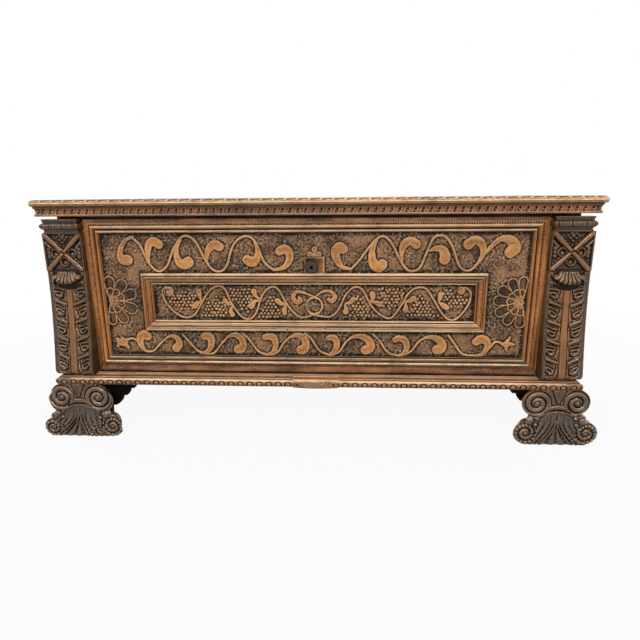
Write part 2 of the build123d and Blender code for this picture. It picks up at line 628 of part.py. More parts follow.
# ---- Pilasters ----------------------------------------------------------------------------------
def stage(x, projection, z):
    """A rectangular stage of a pilaster, standing on the front board."""
    add(box_between(x, (FRONT_FACE - projection, FRONT_FACE), z))


SHAFT_CURVE_START = (SHAFT_FOOT_PROJECTION - SHAFT_FOOT_RADIUS, SHAFT_BOTTOM)
SHAFT_BELLY = (SHAFT_FOOT_PROJECTION, SHAFT_BOTTOM + SHAFT_FOOT_RADIUS)
SHAFT_HEAD = (SHAFT_TOP_PROJECTION, SHAFT_TOP)

for name, side in SIDES.items():
    pilaster_x = sorted((side * PILASTER_OUTER, side * PILASTER_INNER))
    cap_x = sorted((side * CAP_OUTER, side * CAP_INNER))
    plate_x = (cap_x[0] + CAP_PLATE_INSET, cap_x[1] - CAP_PLATE_INSET)

    with BuildPart() as shaft:
        with BuildSketch(crosswise(sum(pilaster_x) / 2, 0)):
            with BuildLine():
                Line((0, SHAFT_BOTTOM), SHAFT_CURVE_START)
                RadiusArc(SHAFT_CURVE_START, SHAFT_BELLY, -SHAFT_FOOT_RADIUS)
                Spline(SHAFT_BELLY, SHAFT_HEAD, tangents=((0, 1), (-SHAFT_TOP_LEAN, 1)))
                Polyline(SHAFT_HEAD, (0, SHAFT_TOP), (0, SHAFT_BOTTOM))
            make_face()
        extrude(amount=PILASTER_WIDTH / 2, both=True)
    finish(shaft, f"pilaster_shaft_{name}")

    with BuildPart() as block:
        stage(pilaster_x, BLOCK_PROJECTION, (SHAFT_TOP, BLOCK_TOP))
        chamfer(block.faces().sort_by(Axis.Y)[0].edges(), BLOCK_ARRIS)
    finish(block, f"pilaster_block_{name}")

    with BuildPart() as cap:
        stage(plate_x, CAP_PROJECTION - 2 * CAP_PLATE_INSET, (BLOCK_TOP, CAP_BEAD_LOW))
        stage(plate_x, CAP_PROJECTION - CAP_PLATE_INSET, (CAP_BEAD_HIGH, CAP_TOP))
        stage(cap_x, CAP_PROJECTION, (CAP_BEAD_LOW, CAP_BEAD_HIGH))
        fillet(cap.edges().filter_by(Axis.X).group_by(Axis.Y)[0], CAP_BEAD_ROUNDING)
    finish(cap, f"pilaster_cap_{name}")


# ---- Feet ---------------------------------------------------------------------------------------
def bracket_points(centre, side, shift):
    """Outline of a stepped bracket, which reaches inward under the carcass in quarter-round steps."""
    outer, inner = centre + side * BRACKET_LEG_HALF, centre - side * BRACKET_LEG_HALF
    start = (inner, 0)
    lines = [((outer, FOOT_HEIGHT), (outer, 0)), ((outer, 0), start)]
    arcs = []
    for reach, drop in zip(BRACKET_STEP_REACH, BRACKET_STEP_DROPS):
        level = FOOT_HEIGHT - drop
        corner = (centre - side * (reach + shift - BRACKET_TREAD / 2), level)
        tread = (centre - side * (reach + shift + BRACKET_TREAD / 2), level)
        bulge = tuple(low + (high - low) * share for low, high, share in zip(start, corner, BRACKET_BULGE))
        arcs.append((start, bulge, corner))
        lines.append((corner, tread))
        start = tread
    end = (centre - side * (BRACKET_STEP_REACH[-1] + shift + BRACKET_TREAD), FOOT_HEIGHT)
    arcs.append((start, (start[0] + (end[0] - start[0]) * BRACKET_BULGE[0], (start[1] + end[1]) / 2), end))
    lines.append((end, lines[0][0]))
    return lines, arcs


def bracket(label, centre, side, shift, front, thickness, cuts):
    """A plain sawn bracket behind a front foot, or a rear foot."""
    lines, arcs = bracket_points(centre, side, shift)
    with BuildPart() as piece:
        with BuildSketch(facing(front)):
            with BuildLine():
                for line in lines:
                    Line(*line)
                for arc in arcs:
                    ThreePointArc(*arc)
            make_face()
        extrude(amount=-thickness)
        for cut in cuts:
            add(cut, mode=Mode.SUBTRACT)
    finish(piece, label)


# Discs of the scroll board: sideways from the foot's middle, height, radius
FOOT_DISCS = [
    (FOOT_UPPER_SCROLL[0], FOOT_HEIGHT - FOOT_UPPER_SCROLL[1], FOOT_UPPER_SCROLL[2]),
    (FOOT_WAIST_BALL[0], FOOT_HEIGHT - FOOT_WAIST_BALL[1], FOOT_WAIST_BALL[2]),
    (FOOT_LOWER_SCROLL[0], FOOT_LOWER_SCROLL[1], FOOT_LOWER_SCROLL[1]),
]

for name, side in SIDES.items():
    centre = side * FOOT_CENTRE
    with BuildPart() as foot_front:
        with BuildSketch(facing(FOOT_FRONT_BACK)):
            with Locations((centre, FOOT_HEIGHT / 2)):
                Rectangle(FOOT_BODY_WIDTH, FOOT_HEIGHT)
            for sideways, height, radius in FOOT_DISCS:
                with Locations((centre - sideways, height), (centre + sideways, height)):
                    Circle(radius)
            with Locations((centre, FOOT_LOWER_SCROLL[1] / 2)):
                Rectangle(2 * FOOT_LOWER_SCROLL[0], FOOT_LOWER_SCROLL[1])
        extrude(amount=FOOT_FRONT_THICKNESS)
        for dowel in dowels("scroll"):
            add(dowel, mode=Mode.SUBTRACT)
    finish(foot_front, f"foot_front_{name}")
    bracket(f"foot_bracket_{name}", centre, side, BRACKET_SHIFTS[name], FOOT_FRONT_BACK, BRACKET_THICKNESS,
            dowels("bracket"))
    bracket(f"foot_rear_{name}", centre, side, 0, BACK_FACE - REAR_FOOT_THICKNESS, REAR_FOOT_THICKNESS,
            dowels("rear"))


# ---- Strap hinges -------------------------------------------------------------------------------
def crosswise_bar(x, radius):
    """A round bar along the hinge axis between two places."""
    with BuildSketch(Plane(origin=(x[0], HINGE_Y, HINGE_Z), z_dir=(1, 0, 0))) as disc:
        Circle(radius)
    extrude(disc.sketch, amount=x[1] - x[0])


def crosswise_hole(x, radius):
    """A round hole along the hinge axis through everything near one hinge."""
    with BuildSketch(Plane(origin=(x - 2 * STRAP_WIDTH, HINGE_Y, HINGE_Z), z_dir=(1, 0, 0))) as disc:
        Circle(radius)
    extrude(disc.sketch, amount=4 * STRAP_WIDTH, mode=Mode.SUBTRACT)


LID_KNUCKLE_HALF = LID_KNUCKLE_LENGTH / 2
TONGUE_START = BACK_FACE - 1
TONGUE_NOTCH = LID_KNUCKLE_HALF + KNUCKLE_GAP
STRAP_HALF = STRAP_WIDTH / 2

for name, middle in HINGES.items():
    left, right = middle - STRAP_HALF, middle + STRAP_HALF
    knuckle_x = (middle - LID_KNUCKLE_HALF, middle + LID_KNUCKLE_HALF)
    tip = BACK_FACE - LID_STRAP_REACH
    with BuildPart() as lid_strap:
        with BuildSketch(Plane.XY.offset(STRAP_UNDERSIDE)):
            with BuildLine():
                Polyline(
                    (left, TONGUE_START), (left, tip + STRAP_POINT), (middle, tip),
                    (right, tip + STRAP_POINT), (right, TONGUE_START),
                    (knuckle_x[1], TONGUE_START), (knuckle_x[1], HINGE_Y),
                    (knuckle_x[0], HINGE_Y), (knuckle_x[0], TONGUE_START), close=True,
                )
            make_face()
        extrude(amount=STRAP_THICKNESS)
        crosswise_bar(knuckle_x, KNUCKLE_RADIUS)
        crosswise_hole(middle, PIN_RADIUS + PIN_CLEARANCE)
        for solid in LID_NAILS:
            add(solid, mode=Mode.SUBTRACT)
    finish(lid_strap, f"hinge_lid_strap_{name}")

    low_tip = RIM_HEIGHT - BACK_STRAP_DROP
    with BuildPart() as back_strap:
        with BuildSketch(facing(BACK_FACE)):
            with BuildLine():
                Polyline((left, HINGE_Z), (left, low_tip + STRAP_POINT), (middle, low_tip),
                         (right, low_tip + STRAP_POINT), (right, HINGE_Z), close=True)
            make_face()
        extrude(amount=-STRAP_THICKNESS)
        for start in (middle - KNUCKLES_HALF, middle + TONGUE_NOTCH):
            crosswise_bar((start, start + BACK_KNUCKLE_LENGTH), KNUCKLE_RADIUS)
        add(box_between((middle - TONGUE_NOTCH, middle + TONGUE_NOTCH), (BACK_FACE - 1, STRAP_OUTSIDE + 1),
                        (HINGE_Z - RECESS_RADIUS, RIM_HEIGHT)), mode=Mode.SUBTRACT)
        crosswise_hole(middle, PIN_RADIUS)
        for solid in BACK_NAILS:
            add(solid, mode=Mode.SUBTRACT)
    finish(back_strap, f"hinge_back_strap_{name}")

    with BuildPart() as hinge_pin:
        crosswise_bar((middle - KNUCKLES_HALF, middle + KNUCKLES_HALF), PIN_RADIUS)
        crosswise_bar((middle - KNUCKLES_HALF - PIN_HEAD_LENGTH, middle - KNUCKLES_HALF), PIN_HEAD_RADIUS)
        crosswise_bar((middle + KNUCKLES_HALF, middle + KNUCKLES_HALF + PIN_HEAD_LENGTH), PIN_HEAD_RADIUS)
    finish(hinge_pin, f"hinge_pin_{name}")

# ---- Lock ---------------------------------------------------------------------------------------
board("lock_plate", (KEYHOLE_X - LOCK_PLATE_WIDTH / 2, KEYHOLE_X + LOCK_PLATE_WIDTH / 2),
      (INNER_FRONT, LOCK_PLATE_BACK), LOCK_PLATE_LEVELS, [KEYHOLE_BORE] + LOCK_NAILS)


def bolt_band(line, margin=0.0):
    """Lower and upper limit of one of the bolt's two bars, with a margin round it."""
    reach = BOLT_HEIGHTS[line] / 2 + margin
    return BOLT_LEVELS[line] - reach, BOLT_LEVELS[line] + reach


with BuildPart() as lock_bolt:
    for line, ends in (("bar", BOLT_BAR_ENDS), ("tongue", BOLT_TONGUE_ENDS)):
        add(box_between((KEYHOLE_X + ends[0], KEYHOLE_X + ends[1]), (BOLT_FRONT, BOLT_BACK), bolt_band(line)))
    add(box_between((STEM_LEFT, STEM_RIGHT), (BOLT_FRONT, BOLT_BACK),
                    (BOLT_LEVELS["bar"], BOLT_LEVELS["tongue"])))
finish(lock_bolt, "lock_bolt")


def keeper(x, line):
    """A square iron loop on the lock plate, through which the bolt slides."""
    with BuildPart(mode=Mode.PRIVATE) as piece:
        add(box_between((x - KEEPER_WIDTH / 2, x + KEEPER_WIDTH / 2),
                        (LOCK_PLATE_BACK, BOLT_BACK + KEEPER_WALL),
                        bolt_band(line, BOLT_CLEARANCE + KEEPER_WALL)))
        add(box_between((x - KEEPER_WIDTH, x + KEEPER_WIDTH),
                        (BOLT_FRONT - BOLT_CLEARANCE, BOLT_BACK + BOLT_CLEARANCE),
                        bolt_band(line, BOLT_CLEARANCE)), mode=Mode.SUBTRACT)
    return piece.part


KEEPER_PLACES = ((KEEPER_LEFT_X, "bar"), (KEEPER_RIGHT_X, "bar"), (KEEPER_RIGHT_X, "tongue"))
group("lock_keepers", [keeper(*place) for place in KEEPER_PLACES])

SPRING_BACK = STAPLE_Y + SPRING_WIDTH / 2
SPRING_X = KEYHOLE_X + SPRING_FOOT[0]
SPRING_LEVEL = KEYHOLE_Z + SPRING_FOOT[1]
SPRING_TOUCH = bolt_band("bar", BOLT_CLEARANCE)[1] + SPRING_THICKNESS
with BuildPart() as lock_spring:
    add(box_between((SPRING_X, SPRING_X + SPRING_WIDTH), (LOCK_PLATE_BACK, SPRING_BACK),
                    (SPRING_LEVEL - SPRING_WIDTH / 2, SPRING_LEVEL + SPRING_WIDTH / 2)))
    with BuildSketch(facing(SPRING_BACK)):
        with BuildLine() as leaf:
            root = SPRING_X + SPRING_WIDTH
            bend, touch = (root + SPRING_LENGTH * share for share in SPRING_BEND)
            ThreePointArc((root, SPRING_LEVEL), (bend, SPRING_TOUCH), (touch, SPRING_TOUCH))
            offset(amount=SPRING_THICKNESS / 2)
        make_face()
    extrude(amount=SPRING_WIDTH)
finish(lock_spring, "lock_spring")

LOOP_LOW = bolt_band("tongue", STAPLE_CLEARANCE)[0]
LOOP_HALF = BOLT_THICKNESS / 2 + STAPLE_CLEARANCE
with BuildPart() as lid_staple:
    add(box_between((STAPLE_X - STAPLE_PLATE[0] / 2, STAPLE_X + STAPLE_PLATE[0] / 2),
                    (STAPLE_Y - STAPLE_PLATE[1] / 2 + STAPLE_WIDTH, STAPLE_Y + STAPLE_PLATE[1] / 2),
                    (STAPLE_UNDERSIDE, RIM_HEIGHT)))
    add(box_between((STAPLE_X - STAPLE_WIDTH / 2, STAPLE_X + STAPLE_WIDTH / 2),
                    (STAPLE_Y - LOOP_HALF - STAPLE_WIRE, STAPLE_Y + LOOP_HALF + STAPLE_WIRE),
                    (LOOP_LOW - STAPLE_WIRE, STAPLE_UNDERSIDE)))
    add(box_between((STAPLE_X - STAPLE_WIDTH, STAPLE_X + STAPLE_WIDTH),
                    (STAPLE_Y - LOOP_HALF, STAPLE_Y + LOOP_HALF),
                    (LOOP_LOW, STAPLE_UNDERSIDE)), mode=Mode.SUBTRACT)
    for solid in STAPLE_NAILS:
        add(solid, mode=Mode.SUBTRACT)
finish(lid_staple, "lid_staple")

# ---- Keyhole boss and its swinging cover --------------------------------------------------------
RIVET_END = BOSS_FACE - COVER_GAP - COVER_THICKNESS - COVER_GAP
RIVET_SHANK = lengthwise_pin(COVER_PIVOT[0], (RIVET_END, BOSS_FACE + RIVET_DEPTH), COVER_PIVOT[1],
                             RIVET_RADIUS)
with BuildPart() as keyhole_boss:
    with BuildSketch(facing(FRONT_FACE)):
        with Locations((KEYHOLE_X, KEYHOLE_Z)):
            Circle(BOSS_RADIUS)
    extrude(amount=BOSS_DEPTH)
    fillet(keyhole_boss.faces().sort_by(Axis.Y)[0].edges(), BOSS_EDGE_RADIUS)
    add(KEYHOLE_BORE, mode=Mode.SUBTRACT)
    add(RIVET_SHANK, mode=Mode.SUBTRACT)
finish(keyhole_boss, "keyhole_boss")

COVER_ANGLE = math.radians(180 + COVER_REST_ANGLE)
COVER_TIP = (COVER_PIVOT[0] + COVER_REACH * math.cos(COVER_ANGLE),
             COVER_PIVOT[1] + COVER_REACH * math.sin(COVER_ANGLE))
with BuildPart() as keyhole_cover:
    with BuildSketch(facing(BOSS_FACE - COVER_GAP)):
        with Locations(COVER_PIVOT):
            Circle(COVER_EYE_RADIUS)
        with Locations(COVER_TIP):
            Circle(COVER_TIP_RADIUS)
        make_hull()
        with Locations(COVER_PIVOT):
            Circle(RIVET_RADIUS + RIVET_CLEARANCE, mode=Mode.SUBTRACT)
    extrude(amount=COVER_THICKNESS)
finish(keyhole_cover, "keyhole_cover")

with BuildPart() as cover_rivet:
    add(RIVET_SHANK)
    with BuildSketch(facing(RIVET_END)):
        with Locations(COVER_PIVOT):
            Circle(RIVET_HEAD_RADIUS)
    extrude(amount=RIVET_HEAD_HEIGHT)
finish(cover_rivet, "cover_rivet")
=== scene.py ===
import math

import bmesh
import bpy
import numpy as np
from bpy.props import FloatProperty, FloatVectorProperty, IntProperty, PointerProperty
from mathutils import Matrix, Vector


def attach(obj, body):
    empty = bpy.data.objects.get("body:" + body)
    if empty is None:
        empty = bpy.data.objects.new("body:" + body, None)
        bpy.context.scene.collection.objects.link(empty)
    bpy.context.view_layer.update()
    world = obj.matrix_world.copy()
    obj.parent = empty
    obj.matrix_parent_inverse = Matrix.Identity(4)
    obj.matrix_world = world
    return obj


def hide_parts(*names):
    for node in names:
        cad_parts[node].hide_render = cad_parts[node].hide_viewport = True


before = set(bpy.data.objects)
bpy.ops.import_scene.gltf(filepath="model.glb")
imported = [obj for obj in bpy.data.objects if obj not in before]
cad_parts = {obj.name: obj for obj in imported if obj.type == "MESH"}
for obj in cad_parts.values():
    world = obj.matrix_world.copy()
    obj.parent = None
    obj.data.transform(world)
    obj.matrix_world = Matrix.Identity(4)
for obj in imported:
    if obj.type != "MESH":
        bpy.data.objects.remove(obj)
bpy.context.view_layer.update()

bl_info = {
    "name": "Carved cassone",
    "version": (1, 0, 0),
    "blender": (4, 5, 0),
    "location": "3D View > Sidebar > Cassone",
    "description": "Carved walnut looks for a chest whose boards come from CAD",
    "category": "Object",
}

# Lengths are in millimetres in the carving code and become metres when a mesh is made.
# x runs to the right, y away from the viewer and z up; the chest's middle is at x = y = 0.
MM = 0.001
# y of the front board's uncarved face and of its back; its top and half length; the height of the
# feet, on which the boards and the plinth stand
FACE, BOARD_BACK, RIM, BOARD_HALF, CHEST_FOOT = -227.0, -197.0, 733.0, 757.0, 181.0
# half length, bottom and top of the carved field and of the grapevine's panel
FRAME_OPENING, PANEL_OPENING = (643.0, 269.0, 654.0), (489.0, 385.0, 498.5)
# widths of the frames' pieces
FRAME_RAIL, FRAME_STILE, PANEL_RAIL = 55.0, 40.0, 33.0
# front and side of the plinth, inner face of a side run, and where both mouldings' side runs stop
PLINTH_FRONT, PLINTH_SIDE, PLINTH_SEAT, SIDE_END = -270.0, 817.0, 783.0, 247.0
# the plinth's middle tab
TAB_LEFT, TAB_RIGHT, TAB_FRONT, TAB_FOOT, TAB_TOP = -58.0, 81.0, -276.0, 178.0, 214.0
# the lid, with the radius of its corners, and the moulding under it
LID_HALF, LID_FRONT, LID_BACK, LID_CORNER = 825.0, -283.0, 283.0, 26.0
UNDER_FOOT, UNDER_FRONT, UNDER_SIDE = 705.0, -273.0, 808.0
# middles and size of the notches in the lid over the hinge knuckles
KNUCKLES, KNUCKLE_BOX = ((-480.0, 266.0, 736.4), (480.0, 266.0, 736.4)), (43.0, 40.0, 9.2)
# heights of a pilaster's pieces and where its shaft stands out most; its half width, the x of its
# middle and of its cap's, and how far its block stands forward
SHAFT_FOOT, SHAFT_BELLY, SHAFT_TOP, BLOCK_TOP = 215.0, 237.0, 540.0, 655.0
PILASTER_HALF, PILASTER_MIDDLE, CAP_MIDDLE, BLOCK_FRONT = 59.0, 747.0, 742.5, 24.0
# x of a front foot's middle, its faces, and how far its inner edge is cut under
FOOT_MIDDLE, FOOT_FRONT, FOOT_BACK, FOOT_UNDERCUT = 752.0, -268.0, -228.0, 18.0


# ---------------------------------------------------------------- sizes and colours

def length(name, text, value):
    """A length given in millimetres."""
    return FloatProperty(name=name, description=text, default=value * MM, min=0.1 * MM,
                         subtype="DISTANCE", unit="LENGTH")


def colour(name, text, red, green, blue):
    """A colour given as the 0-255 values a paint chart would have."""
    def linear(c):
        c /= 255.0
        return c / 12.92 if c <= 0.04045 else ((c + 0.055) / 1.055) ** 2.4
    return FloatVectorProperty(name=name, description=text, subtype="COLOR", size=3,
                               default=(linear(red), linear(green), linear(blue)),
                               min=0.0, max=1.0)


class CarvingSizes(bpy.types.PropertyGroup):
    """How deep and how close together the carving is"""
    ground: length("Ground depth", "How far the punched ground lies below the leaves", 4.0)
    stem: length("Stem width", "Width of the scrolling stems", 7.6)
    berry: length("Berry size", "Diameter of one grape", 8.4)
    cell: length("Carving grid", "Distance between the points of the carved surfaces", 2.1)
    punch: length("Punch pitch", "Distance between the wedge punches on the frame", 7.2)
    lunette: length("Lunette pitch", "Distance between the lunettes along the plinth", 29.8)
    leaf: length("Leaf pitch", "Distance between the leaf cuts under the lid", 22.0)
    scallop: length("Scallop pitch", "Distance between the scallops on the edge of the lid", 34.0)
    tier: length("Acanthus pitch", "Height of one acanthus leaf on a pilaster", 56.0)
    berries_seed: IntProperty(name="Seed", description="Start of the front board's random choices", default=7)


class FinishColours(bpy.types.PropertyGroup):
    """The colours of the wood, wax and iron"""
    gold: colour("Leaf gold", "Raised carving, rubbed to a honey colour", 208, 146, 86)
    ground: colour("Ground", "Punched ground, darkened by wax", 66, 48, 35)
    ember: colour("Ground fleck", "Light flecks on the ground", 160, 120, 86)
    honey: colour("Honey walnut", "Light grain of the frame and plinth", 172, 118, 76)
    brown: colour("Brown walnut", "Dark grain of the frame and plinth", 78, 48, 31)
    tan: colour("Tan walnut", "Dark grain of the upright frames", 118, 72, 40)
    amber: colour("Amber walnut", "Light grain of the upright frames", 192, 124, 66)
    # pale is also the colour of the painted highlights on ridges, beads and noses
    pale: colour("Worn wood", "Edges worn bare and polished by hands", 242, 208, 166)
    # worn is also the colour of the painted highlights on the ridges of the uprights, pilasters and feet
    worn: colour("Worn amber", "Worn edges of the upright frames", 224, 168, 108)
    russet: colour("Russet walnut", "Light grain of the moulding under the lid and of the ribs", 160, 100, 62)
    red: colour("Red walnut", "Light grain of the pilasters", 76, 53, 37)
    dark: colour("Dark walnut", "Body colour of the pilasters and feet", 27, 21, 17)
    grey: colour("Grey walnut", "Light grain of the feet", 76, 60, 49)
    # wax is also the colour of the painted shade and painted shadow in hollows, corners and under overhangs,
    # and of the brackets behind the feet, which are painted near black for the shade they stand in
    wax: colour("Old wax", "Wax and soot in the hollows", 8, 6, 4)
    plain: colour("Plain walnut", "Unpolished inside and back boards", 118, 82, 54)
    shade: colour("Plain walnut, dark", "Dark grain of the unpolished boards", 66, 44, 30)
    iron: colour("Iron", "Forged iron under its oxide", 70, 64, 60)
    rust: colour("Rust", "Rust in the low places of the iron", 74, 44, 30)


# ---------------------------------------------------------------- making surfaces

def smooth_line(points, step=1.6):
    """A smooth line through given points; extra columns, such as a width, follow it."""
    p = np.array(points, float)
    p = np.vstack([2 * p[0] - p[1], p, 2 * p[-1] - p[-2]])
    out = []
    for a, b, c, d in zip(p[:-3], p[1:-2], p[2:-1], p[3:]):
        n = max(2, int(np.hypot(*(c - b)[:2]) / step))
        t = np.linspace(0, 1, n, endpoint=False)[:, None]
        out.append(0.5 * (2 * b + (c - a) * t + (2 * a - 5 * b + 4 * c - d) * t ** 2
                          + (3 * b - a - 3 * c + d) * t ** 3))
    return np.vstack(out + [p[-2:-1]])


def soft(low, high, value):
    """0 at low, 1 at high and smooth between; it falls where low is the larger."""
    t = np.clip((value - low) / (high - low), 0, 1)
    return t * t * (3 - 2 * t)


def blurred(field, times):
    """A field averaged with its neighbours, edges held."""
    f = field.copy()
    for _ in range(times):
        f = np.pad(f, 1, mode="edge")
        f = (f[:-2, 1:-1] + f[2:, 1:-1] + f[1:-1, :-2] + f[1:-1, 2:] + 2 * f[1:-1, 1:-1]) / 6
    return f


class Carving:
    """A height over a flat grid: x across, z up, height out of the wood, in millimetres."""

    def __init__(self, xs, zs, level):
        self.xs, self.zs = np.asarray(xs, float), np.asarray(zs, float)
        self.x, self.z = np.meshgrid(self.xs, self.zs)
        self.height = np.full(self.x.shape, float(level))

    def window(self, x0, x1, z0, z1):
        """The part of the grid round a patch."""
        c = np.searchsorted(self.xs, (x0, x1))
        r = np.searchsorted(self.zs, (z0, z1))
        return slice(r[0], r[1] + 1), slice(c[0], c[1] + 1)

    def along(self, spine):
        """For the points near a line: window, distance over width, side, place along, width."""
        s = smooth_line(spine)
        reach = s[:, 2].max() * 1.5 + 2
        w = self.window(s[:, 0].min() - reach, s[:, 0].max() + reach,
                        s[:, 1].min() - reach, s[:, 1].max() + reach)
        dx = self.x[w][..., None] - s[:, 0]
        dz = self.z[w][..., None] - s[:, 1]
        away = np.hypot(dx, dz) / s[:, 2]
        best = away.argmin(-1)
        tx, tz = np.gradient(s[:, 0]), np.gradient(s[:, 1])
        size = np.hypot(tx, tz)
        pick = np.take_along_axis
        bx = pick(dx, best[..., None], -1)[..., 0]
        bz = pick(dz, best[..., None], -1)[..., 0]
        side = (bx * tz[best] - bz * tx[best]) / (size[best] * s[best, 2])
        run = np.concatenate([[0], np.cumsum(np.hypot(np.diff(s[:, 0]), np.diff(s[:, 1])))])
        return w, pick(away, best[..., None], -1)[..., 0], side, run[best], s[best, 2]

    def lay(self, where, value):
        """Gives the grid a new height where something holds."""
        self.height = np.where(where, value, self.height)

    def raise_to(self, where, value, w=...):
        """Builds the grid, or a window of it, up to a height where something holds."""
        h = self.height[w]
        self.height[w] = np.where(where, np.maximum(h, value), h)


HOLLOW, RIDGE = 0.36, 0.08    # bends at which a hollow is full of wax and painted shade, and a ridge worn bare with a painted highlight
FINE, WIDE = 2, 12            # rounds of smoothing after which a bend is measured


def wax_wear_and_painted_light(mesh):
    """How far each point lies below (hollow) or above (ridge) its smoothed surroundings; a hollow gets wax
    and painted shade, a ridge wear and a painted highlight.
    """
    n = len(mesh.vertices)
    place, normal = np.empty(3 * n, np.float32), np.empty(3 * n, np.float32)
    edges = np.empty(2 * len(mesh.edges), np.int32)
    mesh.vertices.foreach_get("co", place)
    mesh.vertex_normals.foreach_get("vector", normal)
    mesh.edges.foreach_get("vertices", edges)
    a, b = edges.reshape(-1, 2).T
    start, normal = place.reshape(-1, 3) / MM, normal.reshape(-1, 3)
    count = np.maximum(np.bincount(edges, minlength=n), 1)[:, None]
    now, bends = start, []
    for turn in range(WIDE):
        near = [np.bincount(a, now[b, k], n) + np.bincount(b, now[a, k], n) for k in range(3)]
        now = (now + np.stack(near, -1) / count) / 2
        if turn + 1 in (FINE, WIDE):
            bends.append(((now - start) * normal).sum(-1))
    fine, wide = bends
    # painted highlight: ridges that face up are made lighter, as if lit from above
    lit_from_above = np.clip(0.55 + 0.75 * normal[:, 2], 0.25, 1)
    return {"hollow": np.clip((1.1 * fine + 0.45 * wide) / HOLLOW, 0, 1),
            "ridge": np.clip(-fine / RIDGE, 0, 1) * lit_from_above}


def finish_piece(node, verts, faces, material, values=None, body="chest"):
    """Makes the mesh, stands it in for its CAD node and lets it ride on its body."""
    name = node + "_carved"
    mesh = bpy.data.meshes.new(name)
    mesh.from_pydata((np.asarray(verts) * MM).tolist(), [], faces)
    shell = bmesh.new()
    shell.from_mesh(mesh)
    bmesh.ops.recalc_face_normals(shell, faces=shell.faces)
    shell.to_mesh(mesh)
    shell.free()
    mesh.update()
    values = dict(values or {}, **wax_wear_and_painted_light(mesh))
    for key, data in values.items():
        layer = mesh.attributes.new(key, "FLOAT", "POINT")
        layer.data.foreach_set("value", np.ascontiguousarray(data, np.float32).ravel())
    mesh.polygons.foreach_set("use_smooth", [True] * len(mesh.polygons))
    piece = bpy.data.objects.new(name, mesh)
    bpy.context.scene.collection.objects.link(piece)
    mesh.set_sharp_from_angle(angle=math.radians(48))
    mesh.materials.append(bpy.data.materials[material])
    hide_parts(node)
    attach(piece, body)
    return piece


def quads(index):
    """The faces between neighbours in a grid of point numbers."""
    corners = [index[:-1, :-1], index[:-1, 1:], index[1:, 1:], index[1:, :-1]]
    return np.stack(corners, -1).reshape(-1, 4).tolist()


def wrapped(node, grid, material, values=None, body="chest"):
    """A closed piece from rows of points: the last row meets the first, both ends are capped."""
    index = np.arange(grid[..., 0].size).reshape(grid.shape[:2])
    faces = quads(np.vstack([index, index[:1]])) + [index[:, 0].tolist(), index[::-1, -1].tolist()]
    return finish_piece(node, grid.reshape(-1, 3), faces, material, values, body)


def board(node, face, back, material, values):
    """A piece whose face is carved and whose back is flat, at y = back."""
    first, last = face[:1].copy(), face[-1:].copy()
    first[..., 1] = last[..., 1] = back
    values = {k: np.concatenate([v[:1], v, v[-1:]]) for k, v in values.items()}
    return wrapped(node, np.concatenate([first, face, last]), material, values)


# ---------------------------------------------------------------- shader groups

class Graph:
    """Short words for placing and joining shader nodes."""

    def __init__(self, tree):
        self.tree = tree

    def node(self, kind, **settings):
        n = self.tree.nodes.new("ShaderNode" + kind)
        for key, value in settings.items():
            setattr(n, key, value)
        return n

    def put(self, socket, value):
        """Joins a socket to another one, or sets it."""
        if hasattr(value, "is_output"):
            self.tree.links.new(value, socket)
        else:
            socket.default_value = value

    def math(self, kind, a, b=0.0, clamp=False):
        n = self.node("Math", operation=kind, use_clamp=clamp)
        self.put(n.inputs[0], a)
        self.put(n.inputs[1], b)
        return n.outputs[0]

    def mix(self, fac, a, b):
        """Colour a where fac is 0 and colour b where it is 1."""
        n = self.node("Mix", data_type="RGBA")
        self.put(n.inputs[0], fac)
        self.put(n.inputs[6], a)
        self.put(n.inputs[7], b)
        return n.outputs[2]

    def span(self, value, low, high, to_low=0.0, to_high=1.0):
        """A value moved from one range to another, held at its ends."""
        n = self.node("MapRange")
        for i, v in enumerate((value, low, high, to_low, to_high)):
            self.put(n.inputs[i], v)
        return n.outputs[0]

    def noise(self, vector, scale, detail=3.0, rough=0.55, twist=0.0):
        n = self.node("TexNoise")
        for key, value in (("Vector", vector), ("Scale", scale), ("Detail", detail),
                           ("Roughness", rough), ("Distortion", twist)):
            self.put(n.inputs[key], value)
        return n.outputs[0]

    def stretched(self, vector, scale):
        """A vector scaled along each axis, which draws a texture out along the smallest."""
        n = self.node("Mapping")
        self.put(n.inputs["Vector"], vector)
        self.put(n.inputs["Scale"], scale)
        return n.outputs[0]

    def value(self, name):
        """A value stored on the points of the mesh; 0 where the mesh has none."""
        return self.node("Attribute", attribute_type="GEOMETRY", attribute_name=name).outputs["Fac"]

    def bump(self, shader, height, strength, distance):
        """Gives a shader a bumpy surface; returns its normal."""
        n = self.node("Bump")
        n.inputs["Strength"].default_value = strength
        n.inputs["Distance"].default_value = distance
        self.put(n.inputs["Height"], height)
        self.put(shader.inputs["Normal"], n.outputs[0])
        return n.outputs[0]

    def blend(self, fac, a, b):
        """Shader a where fac is 0 and shader b where it is 1."""
        n = self.node("MixShader")
        for i, v in enumerate((fac, a.outputs[0], b.outputs[0])):
            self.put(n.inputs[i], v)
        return n.outputs[0]

    def watched(self):
        """1 for the rays that see the white background, and 0 for those that light the scene."""
        light = self.node("LightPath").outputs
        seen = self.math("MAXIMUM", light["Is Camera Ray"], light["Is Transmission Ray"])
        return self.math("MAXIMUM", seen, light["Is Glossy Ray"])


def group(name, inputs, outputs, build):
    """A shader node group with named sockets, built once."""
    tree = bpy.data.node_groups.new(name, "ShaderNodeTree")
    for label, kind, default in inputs:
        s = tree.interface.new_socket(name=label, in_out="INPUT", socket_type="NodeSocket" + kind)
        if default is not None:
            s.default_value = default
    for label, kind in outputs:
        tree.interface.new_socket(name=label, in_out="OUTPUT", socket_type="NodeSocket" + kind)
    g = Graph(tree)
    source, sink = tree.nodes.new("NodeGroupInput"), tree.nodes.new("NodeGroupOutput")
    build(g, source.outputs, sink.inputs)


